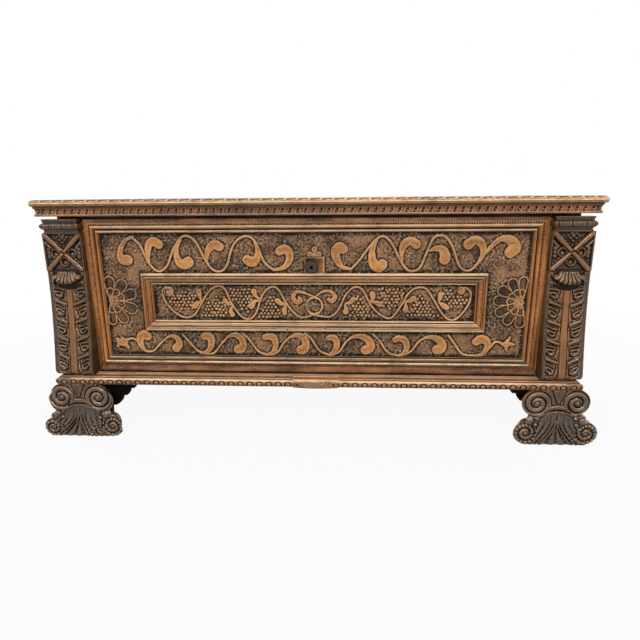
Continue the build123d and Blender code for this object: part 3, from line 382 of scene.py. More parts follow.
def build_grain(g, given, give):
    """Long streaks, fine fibres and pores of walnut; the vector is already stretched."""
    streak = g.noise(given["Vector"], given["Scale"], 4.0, 0.6, 0.6)
    fibre_scale = g.math("MULTIPLY", given["Scale"], 7.0)
    fibre = g.noise(given["Vector"], fibre_scale, 3.0, 0.7, 0.3)
    cloud = g.noise(given["Place"], 4.5, 3.0, 0.6)
    mixed = g.math("ADD", g.math("MULTIPLY", streak, 0.62), g.math("MULTIPLY", fibre, 0.38))
    mixed = g.math("ADD", mixed, g.math("MULTIPLY", g.math("SUBTRACT", cloud, 0.5), 0.55))
    speck = g.noise(given["Place"], 240.0, 3.0, 0.75)
    mixed = g.math("ADD", mixed, g.math("MULTIPLY", g.math("SUBTRACT", speck, 0.5), 0.55))
    g.put(give["Tone"], g.span(mixed, 0.36, 0.62))
    g.put(give["Pores"], g.span(fibre, 0.30, 0.52))
    g.put(give["Height"], g.math("ADD", g.math("MULTIPLY", fibre, 0.6), g.math("MULTIPLY", streak, 0.4)))


def build_wear(g, given, give):
    """Wax and painted shade lie in hollows; ridges are rubbed bare and given a painted highlight."""
    patch = g.noise(given["Place"], 22.0, 4.0, 0.65)
    grime = g.span(g.noise(given["Place"], 5.0, 5.0, 0.7), 0.50, 0.72, 0.0, 0.55)
    # real wax and dirt in the hollows, deepened into painted shade
    waxed = g.math("MULTIPLY", given["Hollow"], g.span(patch, 0.2, 0.6, 0.92, 1.3), True)
    waxed = g.math("MAXIMUM", waxed, grime)
    base = g.mix(g.math("MULTIPLY", waxed, given["Wax amount"], True), given["Color"], given["Wax"])
    # worn ridges, lightened into a painted highlight
    rubbed = g.math("MULTIPLY", given["Ridge"], g.span(patch, 0.30, 0.55, 0.45, 1.0), True)
    g.put(give["Color"], g.mix(g.math("MULTIPLY", rubbed, given["Rub amount"], True), base, given["Rubbed"]))
    g.put(give["Polish"], g.math("SUBTRACT", rubbed, waxed))
    g.put(give["Bare"], g.math("SUBTRACT", 1.0, waxed))


def build_punches(g, given, give):
    """Small close dents left by a punch, uneven in depth."""
    n = g.node("TexVoronoi", feature="F1")
    g.put(n.inputs["Vector"], given["Place"])
    g.put(n.inputs["Scale"], given["Scale"])
    g.put(n.inputs["Randomness"], 0.8)
    dent = g.span(n.outputs["Distance"], 0.15, 0.6)
    patch = g.noise(given["Place"], 160.0, 4.0, 0.75)
    field = g.noise(given["Place"], 15.0, 3.0, 0.6)
    g.put(give["Height"], g.math("ADD", g.math("MULTIPLY", dent, 0.7), g.math("MULTIPLY", patch, 0.9)))
    tone = g.math("ADD", patch, g.math("MULTIPLY", dent, 0.10))
    tone = g.math("ADD", tone, g.math("MULTIPLY", g.math("SUBTRACT", field, 0.5), 1.1))
    g.put(give["Fleck"], g.span(tone, 0.44, 0.70))


def make_groups():
    group("Walnut grain",
          [("Vector", "Vector", None), ("Place", "Vector", None), ("Scale", "Float", 20.0)],
          [("Tone", "Float"), ("Pores", "Float"), ("Height", "Float")], build_grain)
    group("Wax, wear and painted light",
          [("Color", "Color", (0.3, 0.2, 0.1, 1)), ("Wax", "Color", (0.01, 0.01, 0.01, 1)),
           ("Rubbed", "Color", (0.6, 0.4, 0.2, 1)), ("Hollow", "Float", 0.0), ("Ridge", "Float", 0.0),
           ("Wax amount", "Float", 1.0), ("Rub amount", "Float", 1.0), ("Place", "Vector", None)],
          [("Color", "Color"), ("Polish", "Float"), ("Bare", "Float")], build_wear)
    group("Punch marks",
          [("Place", "Vector", None), ("Scale", "Float", 300.0)],
          [("Height", "Float"), ("Fleck", "Float")], build_punches)


def use_group(g, name, **values):
    """Places a group; its sockets' names are written with underscores."""
    n = g.node("Group")
    n.node_tree = bpy.data.node_groups[name]
    for key, value in values.items():
        g.put(n.inputs[key.replace("_", " ")], value)
    return n.outputs


def rgba(c):
    """A colour property, or a list of three, with its alpha."""
    return (c[0], c[1], c[2], 1.0)


def new_material(name):
    """A material with its graph, its one shader and the object's own coordinates."""
    material = bpy.data.materials.new(name)
    material.use_nodes = True
    material.node_tree.nodes.clear()
    g = Graph(material.node_tree)
    shader = g.node("BsdfPrincipled")
    g.put(g.node("OutputMaterial").inputs["Surface"], shader.outputs["BSDF"])
    return g, shader, g.node("TexCoord").outputs["Object"]


GRAIN_STRETCH = {"x": (0.2, 2.8, 2.8), "y": (2.8, 0.2, 2.8), "z": (2.8, 2.8, 0.2)}


def walnut(name, light, dark, run, wax, scale=20.0, gloss=0.42, gold=None, ground=None, rubbed=None,
           coat=0.0, bump=0.0006, wax_and_shade_amount=0.99, rub_and_highlight_amount=0.8, rib=None, shine=0.5, lumps=0.0):
    """Walnut with its grain along x, y or z.

    gold and ground are the colours of a relief on a punched ground, rib that of smooth ribs,
    and lumps is the unevenness of hand-cut, thickly waxed wood.
    """
    g, shader, place = new_material(name)
    vector = g.stretched(place, GRAIN_STRETCH[run])
    grain = use_group(g, "Walnut grain", Vector=vector, Place=place, Scale=scale)
    body = g.mix(grain["Tone"], rgba(dark), rgba(light))
    height = g.math("MULTIPLY", grain["Height"], 0.6)
    # hollow: wax and painted shade in the hollows, with painted shade and shadow from the corner values
    hollow = g.math("MAXIMUM", g.value("hollow"), g.value("corner"))
    if rib:
        smooth = g.mix(grain["Tone"], rgba([v * 0.5 for v in rib]), rgba(rib))
        body = g.mix(g.value("rib"), body, smooth)
    if gold:
        marks = use_group(g, "Punch marks", Place=place, Scale=330.0)
        low = g.mix(marks["Fleck"], rgba(ground[0]), rgba(ground[1]))
        clear = g.math("MULTIPLY", g.span(grain["Tone"], 0.0, 0.7, 0.4, 1.0),
                       g.span(marks["Fleck"], 0.0, 0.8, 0.5, 1.0))
        high = g.mix(clear, body, rgba(gold))
        step = g.span(g.value("relief"), 0.35, 0.8)
        body = g.mix(step, low, high)
        sunk = g.math("MULTIPLY", marks["Height"], g.math("SUBTRACT", 1.0, step))
        height = g.math("ADD", height, g.math("MULTIPLY", sunk, 2.4))
    # the worn value is a painted highlight on beads, bands and noses; it joins the ridges' wear and painted
    # highlight
    bare = g.value("worn")
    worn = use_group(g, "Wax, wear and painted light", Color=body, Place=place, Wax=rgba(wax), Rubbed=rgba(rubbed or light),
                     Hollow=hollow, Ridge=g.math("MAXIMUM", g.value("ridge"), bare),
                     Wax_amount=wax_and_shade_amount, Rub_amount=g.math("MAXIMUM", bare, rub_and_highlight_amount))
    g.put(shader.inputs["Base Color"], worn["Color"])
    rough = g.span(grain["Pores"], 0.0, 1.0, gloss + 0.2, gloss)
    g.put(shader.inputs["Roughness"], g.math("SUBTRACT", rough, g.math("MULTIPLY", worn["Polish"], 0.12)))
    shader.inputs["Specular IOR Level"].default_value = shine
    if coat:
        g.put(shader.inputs["Coat Weight"], g.math("MULTIPLY", worn["Bare"], coat))
        shader.inputs["Coat Roughness"].default_value = 0.07 if lumps else 0.2
        shader.inputs["Coat IOR"].default_value = 1.6 if lumps else 1.5
    if lumps:
        height = g.math("ADD", height, g.math("MULTIPLY", g.noise(place, 120.0, 2.5), lumps))
    g.put(shader.inputs["Coat Normal"], g.bump(shader, height, 0.8, bump))


def wrought_iron(name, iron, rust):
    """Forged iron, hammered and scaled, with rust in its low places."""
    g, shader, place = new_material(name)
    scale = g.noise(place, 160.0, 5.0, 0.7)
    patch = g.noise(place, 30.0, 4.0, 0.65)
    hammer = g.node("TexVoronoi", feature="SMOOTH_F1")
    g.put(hammer.inputs["Vector"], place)
    g.put(hammer.inputs["Scale"], 90.0)
    tone = g.mix(g.span(scale, 0.35, 0.7), rgba([c * 0.55 for c in iron]), rgba(iron))
    spots = g.math("MULTIPLY", g.span(patch, 0.52, 0.66), g.span(scale, 0.4, 0.6))
    g.put(shader.inputs["Base Color"], g.mix(spots, tone, rgba(rust)))
    g.put(shader.inputs["Metallic"], g.math("SUBTRACT", 0.85, g.math("MULTIPLY", spots, 0.8), True))
    rough = g.span(scale, 0.3, 0.7, 0.42, 0.62)
    g.put(shader.inputs["Roughness"], g.math("ADD", rough, g.math("MULTIPLY", spots, 0.25)))
    g.bump(shader, g.math("ADD", g.math("MULTIPLY", scale, 0.5), hammer.outputs["Distance"]), 0.7, 0.0008)


# ---------------------------------------------------------------- operators

def settings(context):
    """The carving sizes and the finish colours of the scene."""
    return context.scene.cassone_sizes, context.scene.cassone_colours


# The finish of each CAD part by the start of its node's name; the first that fits counts.
FINISHES = (
    ("back_board", "plain wood"), ("bottom_board", "plain wood"), ("bottom_cleat", "plain side wood"),
    ("end_board", "end wood"), ("front_board", "carved front"), ("foot_dowels", "dowel"),
    ("foot_bracket", "bracket in painted shade"), ("foot", "foot wood"), ("pilaster", "pilaster wood"),
    ("frame_left", "frame stile"), ("frame_right", "frame stile"), ("frame", "frame rail"),
    ("panel_moulding_left", "frame stile"), ("panel_moulding_right", "frame stile"),
    ("panel_moulding", "frame rail"), ("base_moulding_front", "plinth wood"),
    ("base_moulding", "plinth side wood"), ("base_tab", "plinth wood"), ("lid_board", "lid wood"),
    ("lid_moulding_front", "lid red wood"), ("lid_moulding", "lid side wood"),
    ("", "forged iron"),
)


def finish_of(node):
    """The finish of a CAD part."""
    return next(finish for start, finish in FINISHES if node.startswith(start))


class CASSONE_OT_finishes(bpy.types.Operator):
    """Builds the wood and iron finishes and gives them to the CAD parts"""
    bl_idname = "cassone.finishes"
    bl_label = "Wood and iron finishes"

    def execute(self, context):
        _, c = settings(context)
        make_groups()
        walnut("carved front", c.honey, c.brown, "x", c.wax, gold=c.gold, ground=(c.ground, c.ember),
               rubbed=c.pale, wax_and_shade_amount=0.97, rub_and_highlight_amount=0.4, gloss=0.5, shine=0.2)
        for name, light, run, coat, rub_and_highlight_amount in (
                ("frame rail", c.honey, "x", 0.25, 0.85),
                ("plinth wood", c.russet, "x", 0.25, 0.45), ("plinth side wood", c.russet, "y", 0.25, 0.45),
                ("lid wood", c.honey, "x", 0.12, 0.85),
                ("lid red wood", c.russet, "x", 0.25, 0.45), ("lid side wood", c.russet, "y", 0.25, 0.85)):
            walnut(name, light, c.brown, run, c.wax, rubbed=c.pale, gloss=0.38, coat=coat, shine=0.14,
                   rub_and_highlight_amount=rub_and_highlight_amount)
        walnut("frame stile", c.amber, c.tan, "z", c.wax, rubbed=c.worn, gloss=0.38, coat=0.25, shine=0.14,
               wax_and_shade_amount=0.85, rub_and_highlight_amount=0.3)
        walnut("pilaster wood", c.red, c.dark, "z", c.wax, rubbed=c.worn, gloss=0.3, coat=0.6, shine=0.14,
               rub_and_highlight_amount=0.28, rib=[v * 0.6 for v in c.amber], lumps=1.1)
        walnut("foot wood", c.grey, c.dark, "z", c.wax, rubbed=c.worn, gloss=0.28, coat=0.8, shine=0.14,
               rub_and_highlight_amount=0.3, rib=c.red, lumps=1.5)
        walnut("end wood", c.honey, c.brown, "y", c.wax, gloss=0.45, shine=0.3)
        # painted shade: the brackets behind the feet are made near black, the shade they stand in
        walnut("bracket in painted shade", c.wax, c.wax, "x", c.wax, gloss=0.7, shine=0.08)
        walnut("plain wood", c.plain, c.shade, "x", c.wax, gloss=0.6, bump=0.001, shine=0.3)
        walnut("plain side wood", c.plain, c.shade, "y", c.wax, gloss=0.6, bump=0.001, shine=0.3)
        walnut("dowel", c.plain, c.brown, "y", c.wax, scale=60.0, gloss=0.5)
        wrought_iron("forged iron", c.iron, c.rust)
        for node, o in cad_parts.items():
            if not o.material_slots:
                o.data.materials.append(None)
            for s in o.material_slots:
                s.material = bpy.data.materials[finish_of(node)]
        return {"FINISHED"}


# ---------------------------------------------------------------- carved front board

# Stems of the upper frieze, left and right of the lock: (x, z) where each turns.
UPPER_STEMS = (
    ((-542, 640), (-519, 616), (-496, 562), (-469, 538), (-441, 554), (-415, 609), (-384, 643),
     (-351, 631), (-325, 580), (-304, 546), (-278, 537), (-256, 556), (-241, 600), (-224, 628),
     (-194, 643), (-167, 626), (-142, 566), (-113, 541)),
    ((119, 544), (144, 571), (182, 621), (211, 641), (237, 622), (262, 575), (283, 545), (302, 538),
     (324, 550), (345, 604), (362, 638), (391, 640), (415, 610), (438, 554), (466, 539), (489, 560),
     (522, 609)),
)
# Leaves that roll off the stems: (x, z, half width).
UPPER_LEAVES = (
    ((-540, 641, 4), (-561, 633, 6), (-578, 611, 8), (-584, 588, 10), (-578, 573, 14), (-563, 572, 17)),
    ((-495, 566, 3), (-497, 590, 8), (-492, 618, 12), (-476, 628, 14), (-461, 619, 14)),
    ((-393, 631, 4), (-406, 610, 6), (-409, 585, 9), (-401, 564, 13), (-386, 559, 16), (-374, 565, 17)),
    ((-316, 562, 3), (-316, 585, 7), (-307, 607, 11), (-291, 618, 14), (-276, 612, 14)),
    ((-169, 628, 4), (-160, 600, 8), (-164, 576, 12), (-178, 566, 16), (-193, 572, 15)),
    ((-113, 541, 4), (-84, 549, 7), (-67, 568, 11), (-65, 592, 13), (-79, 604, 14), (-95, 598, 13)),
    ((119, 544, 4), (93, 551, 7), (76, 575, 12), (74, 599, 15), (86, 610, 15), (96, 603, 14)),
    ((195, 631, 4), (183, 608, 8), (181, 580, 11), (188, 557, 15), (203, 550, 16), (212, 558, 16)),
    ((271, 562, 3), (268, 592, 7), (275, 617, 12), (293, 627, 13), (310, 617, 14)),
    ((349, 598, 3), (370, 605, 9), (388, 600, 12), (395, 582, 16), (394, 573, 16)),
    ((484, 548, 3), (501, 580, 7), (504, 602, 10), (495, 622, 13), (477, 629, 13), (461, 617, 16)),
    ((514, 592, 4), (532, 616, 7), (555, 633, 9), (583, 626, 15), (594, 606, 18), (582, 593, 17)),
)
LOWER_STEMS = (
    ((-592, 318), (-576, 323), (-565, 320), (-553, 309)),
    ((-526, 279), (-507, 283), (-482, 308), (-457, 329)),
    ((-409, 337), (-388, 311), (-364, 284), (-337, 277)),
    ((-340, 273), (-312, 277), (-288, 306), (-265, 331)),
    ((-217, 341), (-198, 322), (-170, 284), (-140, 272)),
    ((-128, 273), (-108, 283), (-88, 313), (-69, 331)),
    ((-22, 343), (-2, 325), (22, 288), (54, 273)),
    ((56, 272), (84, 285), (104, 315), (121, 331)),
    ((189, 341), (209, 321), (235, 284), (270, 273)),
    ((287, 276), (308, 290), (328, 318), (347, 332)),
    ((418, 340), (437, 314), (464, 281), (509, 276)),
    ((547, 304), (558, 319), (571, 320), (584, 313)),
)
LOWER_LEAVES = (
    ((-522, 279, 4), (-538, 286, 6), (-548, 306, 10), (-545, 329, 13), (-533, 337, 14), (-523, 330, 14)),
    ((-459, 328, 4), (-441, 332, 6), (-426, 322, 9), (-423, 304, 12), (-433, 292, 14)),
    ((-356, 277, 4), (-336, 280, 7), (-321, 299, 10), (-320, 325, 13), (-331, 334, 12), (-342, 331, 11)),
    ((-267, 330, 4), (-243, 337, 8), (-223, 325, 11), (-218, 307, 12), (-224, 293, 15), (-234, 290, 15)),
    ((-142, 272, 4), (-124, 281, 7), (-115, 305, 9), (-121, 328, 12), (-136, 332, 11), (-148, 330, 10)),
    ((-71, 330, 4), (-47, 338, 8), (-26, 328, 11), (-20, 306, 13), (-26, 292, 15), (-36, 289, 15)),
    ((52, 273, 4), (68, 285, 8), (77, 308, 10), (70, 328, 11), (58, 331, 10), (50, 328, 8)),
    ((119, 330, 4), (145, 336, 8), (170, 327, 12), (182, 308, 13), (177, 295, 15), (165, 291, 15)),
    ((266, 274, 4), (282, 279, 6), (293, 300, 9), (286, 323, 11), (268, 330, 10), (257, 325, 10)),
    ((345, 332, 4), (370, 334, 8), (393, 323, 12), (401, 306, 14), (395, 295, 15), (385, 294, 15)),
    ((507, 276, 4), (526, 283, 7), (538, 308, 10), (530, 326, 13), (513, 328, 14), (503, 321, 13)),
)
VINE = (
    ((-451, 488), (-462, 476), (-455, 443), (-428, 409), (-398, 393), (-368, 400), (-342, 438),
     (-314, 478), (-286, 492), (-266, 481), (-247, 436), (-218, 396), (-193, 389), (-172, 410),
     (-150, 466), (-124, 489), (-101, 481), (-73, 431), (-42, 398), (-13, 397), (19, 410)),
    ((-6, 407), (20, 400), (55, 397), (80, 417), (104, 465), (129, 489), (154, 481), (182, 431),
     (217, 399), (245, 396), (271, 433), (292, 470), (314, 487), (342, 486), (366, 455), (395, 409),
     (421, 389), (445, 398), (472, 437), (476, 473), (461, 487), (449, 486)),
)
VINE_CURLS = (
    ((8, 459, 3), (-22, 471, 4), (-45, 475, 5), (-57, 460, 7), (-48, 443, 7), (-35, 446, 7), (-38, 456, 5)),
    ((10, 459, 3), (34, 475, 4), (56, 477, 5), (71, 461, 7), (62, 446, 7), (51, 452, 5)),
)
VINE_LEAVES = (
    ((-341, 444, 3), (-346, 459, 5), (-348, 475, 9)), ((-342, 444, 3), (-355, 439, 7), (-363, 429, 9)),
    ((-245, 435, 3), (-260, 438, 6), (-269, 448, 7)), ((-246, 429, 3), (-252, 415, 6), (-247, 402, 8)),
    ((-162, 453, 3), (-173, 463, 6), (-177, 476, 9)), ((-163, 448, 3), (-176, 444, 6), (-186, 430, 10)),
    ((-79, 436, 3), (-94, 438, 7), (-106, 447, 8)), ((-79, 434, 3), (-85, 418, 7), (-84, 408, 7)),
    ((103, 439, 3), (117, 442, 6), (127, 451, 9)), ((101, 436, 3), (105, 423, 6), (104, 413, 9)),
    ((179, 445, 3), (186, 455, 6), (184, 468, 9)), ((181, 444, 3), (194, 442, 6), (207, 437, 9)),
    ((283, 444, 3), (296, 448, 6), (308, 454, 9)), ((283, 441, 3), (286, 429, 6), (285, 419, 9)),
    ((384, 446, 3), (387, 458, 7), (388, 468, 8)), ((385, 443, 3), (397, 434, 8), (408, 427, 8)),
)
# Corners of the patches that hold the grapes.
GRAPES = (
    ((-428, 462), (-397, 480), (-372, 478), (-357, 460), (-368, 418), (-397, 411), (-446, 444)),
    ((-292, 461), (-265, 430), (-263, 390), (-317, 389), (-348, 397), (-322, 438)),
    ((-255, 490), (-186, 488), (-185, 444), (-198, 411), (-217, 419), (-246, 467)),
    ((-118, 466), (-108, 448), (-96, 398), (-136, 386), (-168, 392), (-133, 456)),
    ((140, 464), (168, 437), (197, 404), (191, 391), (124, 391), (114, 405), (134, 446)),
    ((191, 490), (272, 490), (284, 474), (251, 429), (235, 422), (218, 430), (203, 476)),
    ((327, 466), (349, 443), (386, 400), (369, 393), (286, 398), (312, 446)),
    ((392, 482), (418, 480), (468, 449), (456, 437), (422, 420), (408, 440)),
)
# The half flowers at the ends: centre, then petal ends with their half widths.
FLOWERS = (
    ((-627, 446), ((-628, 505, 18), (-589, 496, 18), (-562, 466, 18), (-564, 420, 19), (-594, 388, 17),
                   (-630, 381, 15))),
    ((626, 444), ((628, 508, 15), (597, 502, 16), (570, 479, 17), (560, 449, 17), (567, 414, 17),
                  (591, 388, 16), (628, 379, 16))),
)
END_LEAVES = (
    ((-624, 322, 4), (-613, 312, 9), (-603, 308, 11), (-590, 318, 6)), ((-587, 291, 4), (-598, 304, 9)),
    ((-624, 295, 4), (-615, 308, 9)), ((-606, 323, 5), (-602, 314, 10)),
    ((581, 313, 4), (593, 313, 9), (606, 314, 6), (620, 312, 2)), ((593, 318, 6), (603, 335, 3)),
    ((592, 309, 6), (597, 291, 3)),
)
# The plain block round the keyhole, as two x and two z; the keyhole; the trefoil over it, its lobes
# and holes, and the disc round it that is darkened: (x, z, radius).
LOCK_BLOCK = (-20.0, 39.0, 531.0, 581.0)
KEYHOLE, KEYHOLE_FLOOR = (1.5, 550.0, 6.0), -28.0
TREFOIL = ((10, 602, 9.0), (-5, 589, 8.0), (24, 589, 8.0), (9, 586, 8.0))
TREFOIL_HOLES = ((10, 603), (-5, 588), (24, 588))
TREFOIL_DARK_DISC = (10, 594, 26)
# The ring in the middle of the vine, and the discs with a spiral cut in them that end it.
VINE_RING = (8, 431, 24)
VINE_DISCS = ((-442, 475, 16), (448, 479, 12))
STANDING = -0.3                 # height at which the carving stands, just under the board's face
EDGE_ROUND = 2.7                # over which the edge of a stem or leaf is rounded
FIELD_MARGIN = 3.0              # by which the fine grid reaches under the frame
LID_SHADOW_HEIGHTS = (690, 728)     # heights between which the board gets a black painted shadow under the lid


def spaced(*stretches):
    """Grid lines: each stretch is (start, end, spacing)."""
    lines = [np.linspace(a, b, max(1, round(abs(b - a) / step)), endpoint=False) for a, b, step in stretches]
    return np.concatenate(lines + [[stretches[-1][1]]])


def inside(points, corners):
    """Which points lie inside a polygon."""
    x, z = points[:, 0], points[:, 1]
    odd = np.zeros(len(points), bool)
    c = np.array(corners, float)
    for (x0, z0), (x1, z1) in zip(c, np.roll(c, -1, 0)):
        if z0 != z1:
            odd ^= ((z0 > z) != (z1 > z)) & (x < (x1 - x0) * (z - z0) / (z1 - z0) + x0)
    return odd


def cut_band(c, spine, ground, hollow=0.0):
    """A band left standing, with rounded edges, or a little hollow along its middle."""
    w, away, side, _, width = c.along(spine)
    edge = np.clip((1 - away) * width / EDGE_ROUND, 0, 1)
    value = ground + (STANDING - ground) * np.sqrt(1 - (1 - edge) ** 2) - hollow * soft(0.7, 0, np.abs(side))
    c.raise_to(away < 1, value, w)


def cut_dome(c, x, z, radius, ground, top, power=0.5):
    """A round boss; a low power gives it a flat top and steep sides."""
    w = c.window(x - radius - 3, x + radius + 3, z - radius - 3, z + radius + 3)
    away = np.hypot(c.x[w] - x, c.z[w] - z) / radius
    c.raise_to(away < 1, ground + (top - ground) * np.clip(1 - away ** 2, 0, 1) ** power, w)


def cut_ring(c, x, z, radius, width, ground, squash=1.0):
    """A ring left standing; squash is its height over its width."""
    across, up = radius + width, radius * squash + width
    w = c.window(x - across, x + across, z - up, z + up)
    away = np.abs(np.hypot(c.x[w] - x, (c.z[w] - z) / squash) - radius) / width
    c.raise_to(away < 1, ground + (STANDING - ground) * np.sqrt(np.clip(1 - away ** 2, 0, 1)), w)


def cut_grapes(c, rng, patch, berry, ground):
    """Fills a patch with berries in uneven rows."""
    corners, pitch = np.array(patch, float), berry * 1.36
    low, high = corners.min(0), corners.max(0)
    rows = np.arange(low[1], high[1] + pitch, pitch * 0.88)
    points = [(x + (i % 2) * pitch / 2, z) for i, z in enumerate(rows)
              for x in np.arange(low[0], high[0] + pitch, pitch)]
    points = np.array(points) + rng.normal(0, 0.9, (len(points), 2))
    for x, z in points[inside(points, patch)]:
        cut_dome(c, x, z, berry / 2 * rng.uniform(0.88, 1.1), ground, STANDING + 0.2)


def cut_petal(c, fx, fz, x, z, r, ground, rise=0.0):
    """A petal like a spoon: a thin rim round a bowl that is deepest at its tip."""
    w, away, _, run, width = c.along(((fx, fz, r * 0.3), ((fx + x) / 2, (fz + z) / 2, r * 0.74), (x, z, r)))
    inset, reach = (1 - away) * width, run / math.hypot(x - fx, z - fz)
    rim = np.sqrt(np.clip(1 - ((inset - 2.1) / 2.1) ** 2, 0, 1)) * (3.4 - rise)
    bowl = soft(3.2, 5.2, inset) * (2.2 - 1.9 * soft(0.35, 0.9, reach))
    c.height[w] = np.where(away < 1, ground + rise + np.maximum(rim, bowl), c.height[w])
    # painted shade, deeper toward the tip of the bowl
    depth = soft(2.6, 4.4, inset) * soft(0.3, 0.85, reach) * (0.25 if rise else 0.5)
    c.shade[w] = np.where(away < 1, depth, c.shade[w])


def cut_flower(c, fx, fz, petals, ground):
    """A half flower: an outer and an inner row of petals round a ringed eye."""
    for x, z, r in petals:
        cut_petal(c, fx, fz, x, z, r, ground)
    for x, z, r in petals:
        cut_petal(c, fx, fz, fx + 0.5 * (x - fx), fz + 0.5 * (z - fz), r * 0.66, ground, 0.7)
    cut_dome(c, fx, fz, 9, ground, ground + 1.0, 0.35)
    cut_ring(c, fx, fz, 6.5, 2.2, ground)
    cut_dome(c, fx, fz, 2.6, ground, STANDING)


def cut_lock_block(c, ground):
    """The plain block with its keyhole, and the pierced trefoil that stands on it."""
    x0, x1, z0, z1 = LOCK_BLOCK
    block = np.minimum.reduce([c.x - x0, x1 - c.x, c.z - z0, z1 - c.z])
    c.height = np.maximum(c.height, ground + (STANDING - ground) * soft(-1.5, 1.0, block))
    for x, z, r in TREFOIL:
        cut_dome(c, x, z, r, ground, STANDING, 0.2)
    for x, z in TREFOIL_HOLES:
        w = c.window(x - 3, x + 3, z - 3, z + 3)
        c.height[w] -= 2.5 * soft(3.0, 1.0, np.hypot(c.x[w] - x, c.z[w] - z))
    x, z, r = KEYHOLE
    c.lay(np.hypot(c.x - x, c.z - z) < r, KEYHOLE_FLOOR)


def carve_front(sizes):
    """The front board's face; its height is how far it stands off the board's plain face."""
    cell, ground = sizes.cell / MM, -sizes.ground / MM
    half_stem, berry = sizes.stem / MM / 2, sizes.berry / MM
    rng = np.random.default_rng(sizes.berries_seed)
    half, low, high = FRAME_OPENING
    side, foot, head = half + FIELD_MARGIN, low - FIELD_MARGIN, high + FIELD_MARGIN
    c = Carving(spaced((-BOARD_HALF, -side, 37), (-side, side, cell), (side, BOARD_HALF, 37)),
                spaced((CHEST_FOOT, foot, 28), (foot, head, cell), (head, RIM, 12)), 0)
    # painted shade that the petals lay in their bowls
    c.shade = np.zeros_like(c.x)
    field = (np.abs(c.x) < half + 0.5) & (c.z > low - 0.5) & (c.z < high + 0.5)
    waves = 0.45 * np.sin(c.x / 23 + 2 * np.sin(c.z / 31)) * np.sin(c.z / 17 + 1.3)
    rough = 1.5 * blurred(rng.normal(0, 1, c.x.shape), 3)
    c.lay(field, ground + waves + rough)
    for stem in UPPER_STEMS + LOWER_STEMS:
        cut_band(c, [(*p, half_stem) for p in stem], ground)
    for stem in VINE:
        cut_band(c, [(*p, half_stem * 0.86) for p in stem], ground)
    for leaf in UPPER_LEAVES + LOWER_LEAVES + VINE_LEAVES + VINE_CURLS + END_LEAVES:
        cut_band(c, leaf, ground, hollow=0.35)
    cut_ring(c, *VINE_RING, 3.4, ground, 1.06)
    for x, z, r in VINE_DISCS:
        cut_dome(c, x, z, r, ground, STANDING, 0.25)
        w = c.window(x - r, x + r, z - r, z + r)
        dx, dz = c.x[w] - x, c.z[w] - z
        swirl = np.cos(np.arctan2(dz, dx) - np.hypot(dx, dz) / 3.2)
        c.height[w] -= 1.5 * soft(0.55, 1.0, swirl) * (np.hypot(dx, dz) < r - 3)
    for patch in GRAPES:
        cut_grapes(c, rng, patch, berry, ground)
    for (fx, fz), petals in FLOWERS:
        cut_flower(c, fx, fz, petals, ground)
    cut_lock_block(c, ground)
    c.height = np.where(field, np.minimum(c.height, 0.0), 0.0)
    return c


def inward(c, opening, margin=0.0):
    """How far each point lies inside an opening that has this margin added all round."""
    half, low, high = opening
    return np.minimum.reduce([half + margin - np.abs(c.x), high + margin - c.z, c.z - (low - margin)])


def front_shade_and_lock_dark(c, level):
    """Painted shade along the frames and in the petal bowls, a painted shadow under the lid, and darker wood
    on the lock block and round the trefoil.
    """
    seams = (inward(c, FRAME_OPENING), inward(c, PANEL_OPENING, PANEL_RAIL), inward(c, PANEL_OPENING))
    edge = np.abs(seams).min(0)
    # painted shade on the ground along the foot of the frames
    corner = (soft(15, 4, edge) * 0.95 + soft(60, 10, edge) * 0.2) * soft(0.7, 0.2, level)
    under_lid = (c.z > LID_SHADOW_HEIGHTS[0]) & (c.z < LID_SHADOW_HEIGHTS[1])
    x0, x1, z0, z1 = LOCK_BLOCK
    block = (c.x > x0 - 1) & (c.x < x1 + 1) & (c.z > z0 - 1) & (c.z < z1 + 1)
    x, z, r = TREFOIL_DARK_DISC
    # the lock block darkens toward its left, and a disc round the trefoil darkens
    lock = np.where(block, soft(x1 + 30, x0 + 10, c.x) * 0.9, 0.35 * (np.hypot(c.x - x, c.z - z) < r))
    return np.maximum.reduce([np.where(under_lid, 1.0, corner), c.shade, lock])


# ---------------------------------------------------------------- frames

def rounded_bead(d, middle, half, base, rise):
    """A half round of this half width and rise, standing on a base."""
    return base + rise * np.sqrt(np.clip(1 - ((d - middle) / half) ** 2, 0, 1))


def frame_height(d):
    """Section of the outer frame, by distance from its sight edge."""
    h = np.interp(d, (0, 1, 6.4, 7.6, 12, 22, 23, 60), (5, 6, 6, 2.2, 1.8, 5.0, 8.6, 8.6))
    h = np.maximum(h, np.where(np.abs(d - 3.6) < 3.6, rounded_bead(d, 3.6, 3.6, 4.5, 5.5), 0))
    return np.where(np.abs(d - 17.2) < 5.6, np.maximum(h, rounded_bead(d, 17.2, 5.6, 3.0, 9.9)), h)


def panel_height(d):
    """Section of the smaller frame: a bead, an ogee up to an arris and a round outside."""
    h = np.interp(d, (0, 2.6, 3.8, 6.4, 7.6, 12, 19.5, 20.2, 22.4, 23.2, 25.0, 26, 31, 33),
                  (6, 9.4, 5.4, 5.4, 8.8, 11.8, 12.6, 14.6, 14.6, 9, 8.4, 9, 9, 4))
    h = np.maximum(h, np.where(np.abs(d - 1.9) < 1.9, rounded_bead(d, 1.9, 1.9, 6.0, 4.4), 0))
    return np.where(np.abs(d - 28.8) < 4.0, np.maximum(h, rounded_bead(d, 28.8, 4.0, 7.5, 5.8)), h)


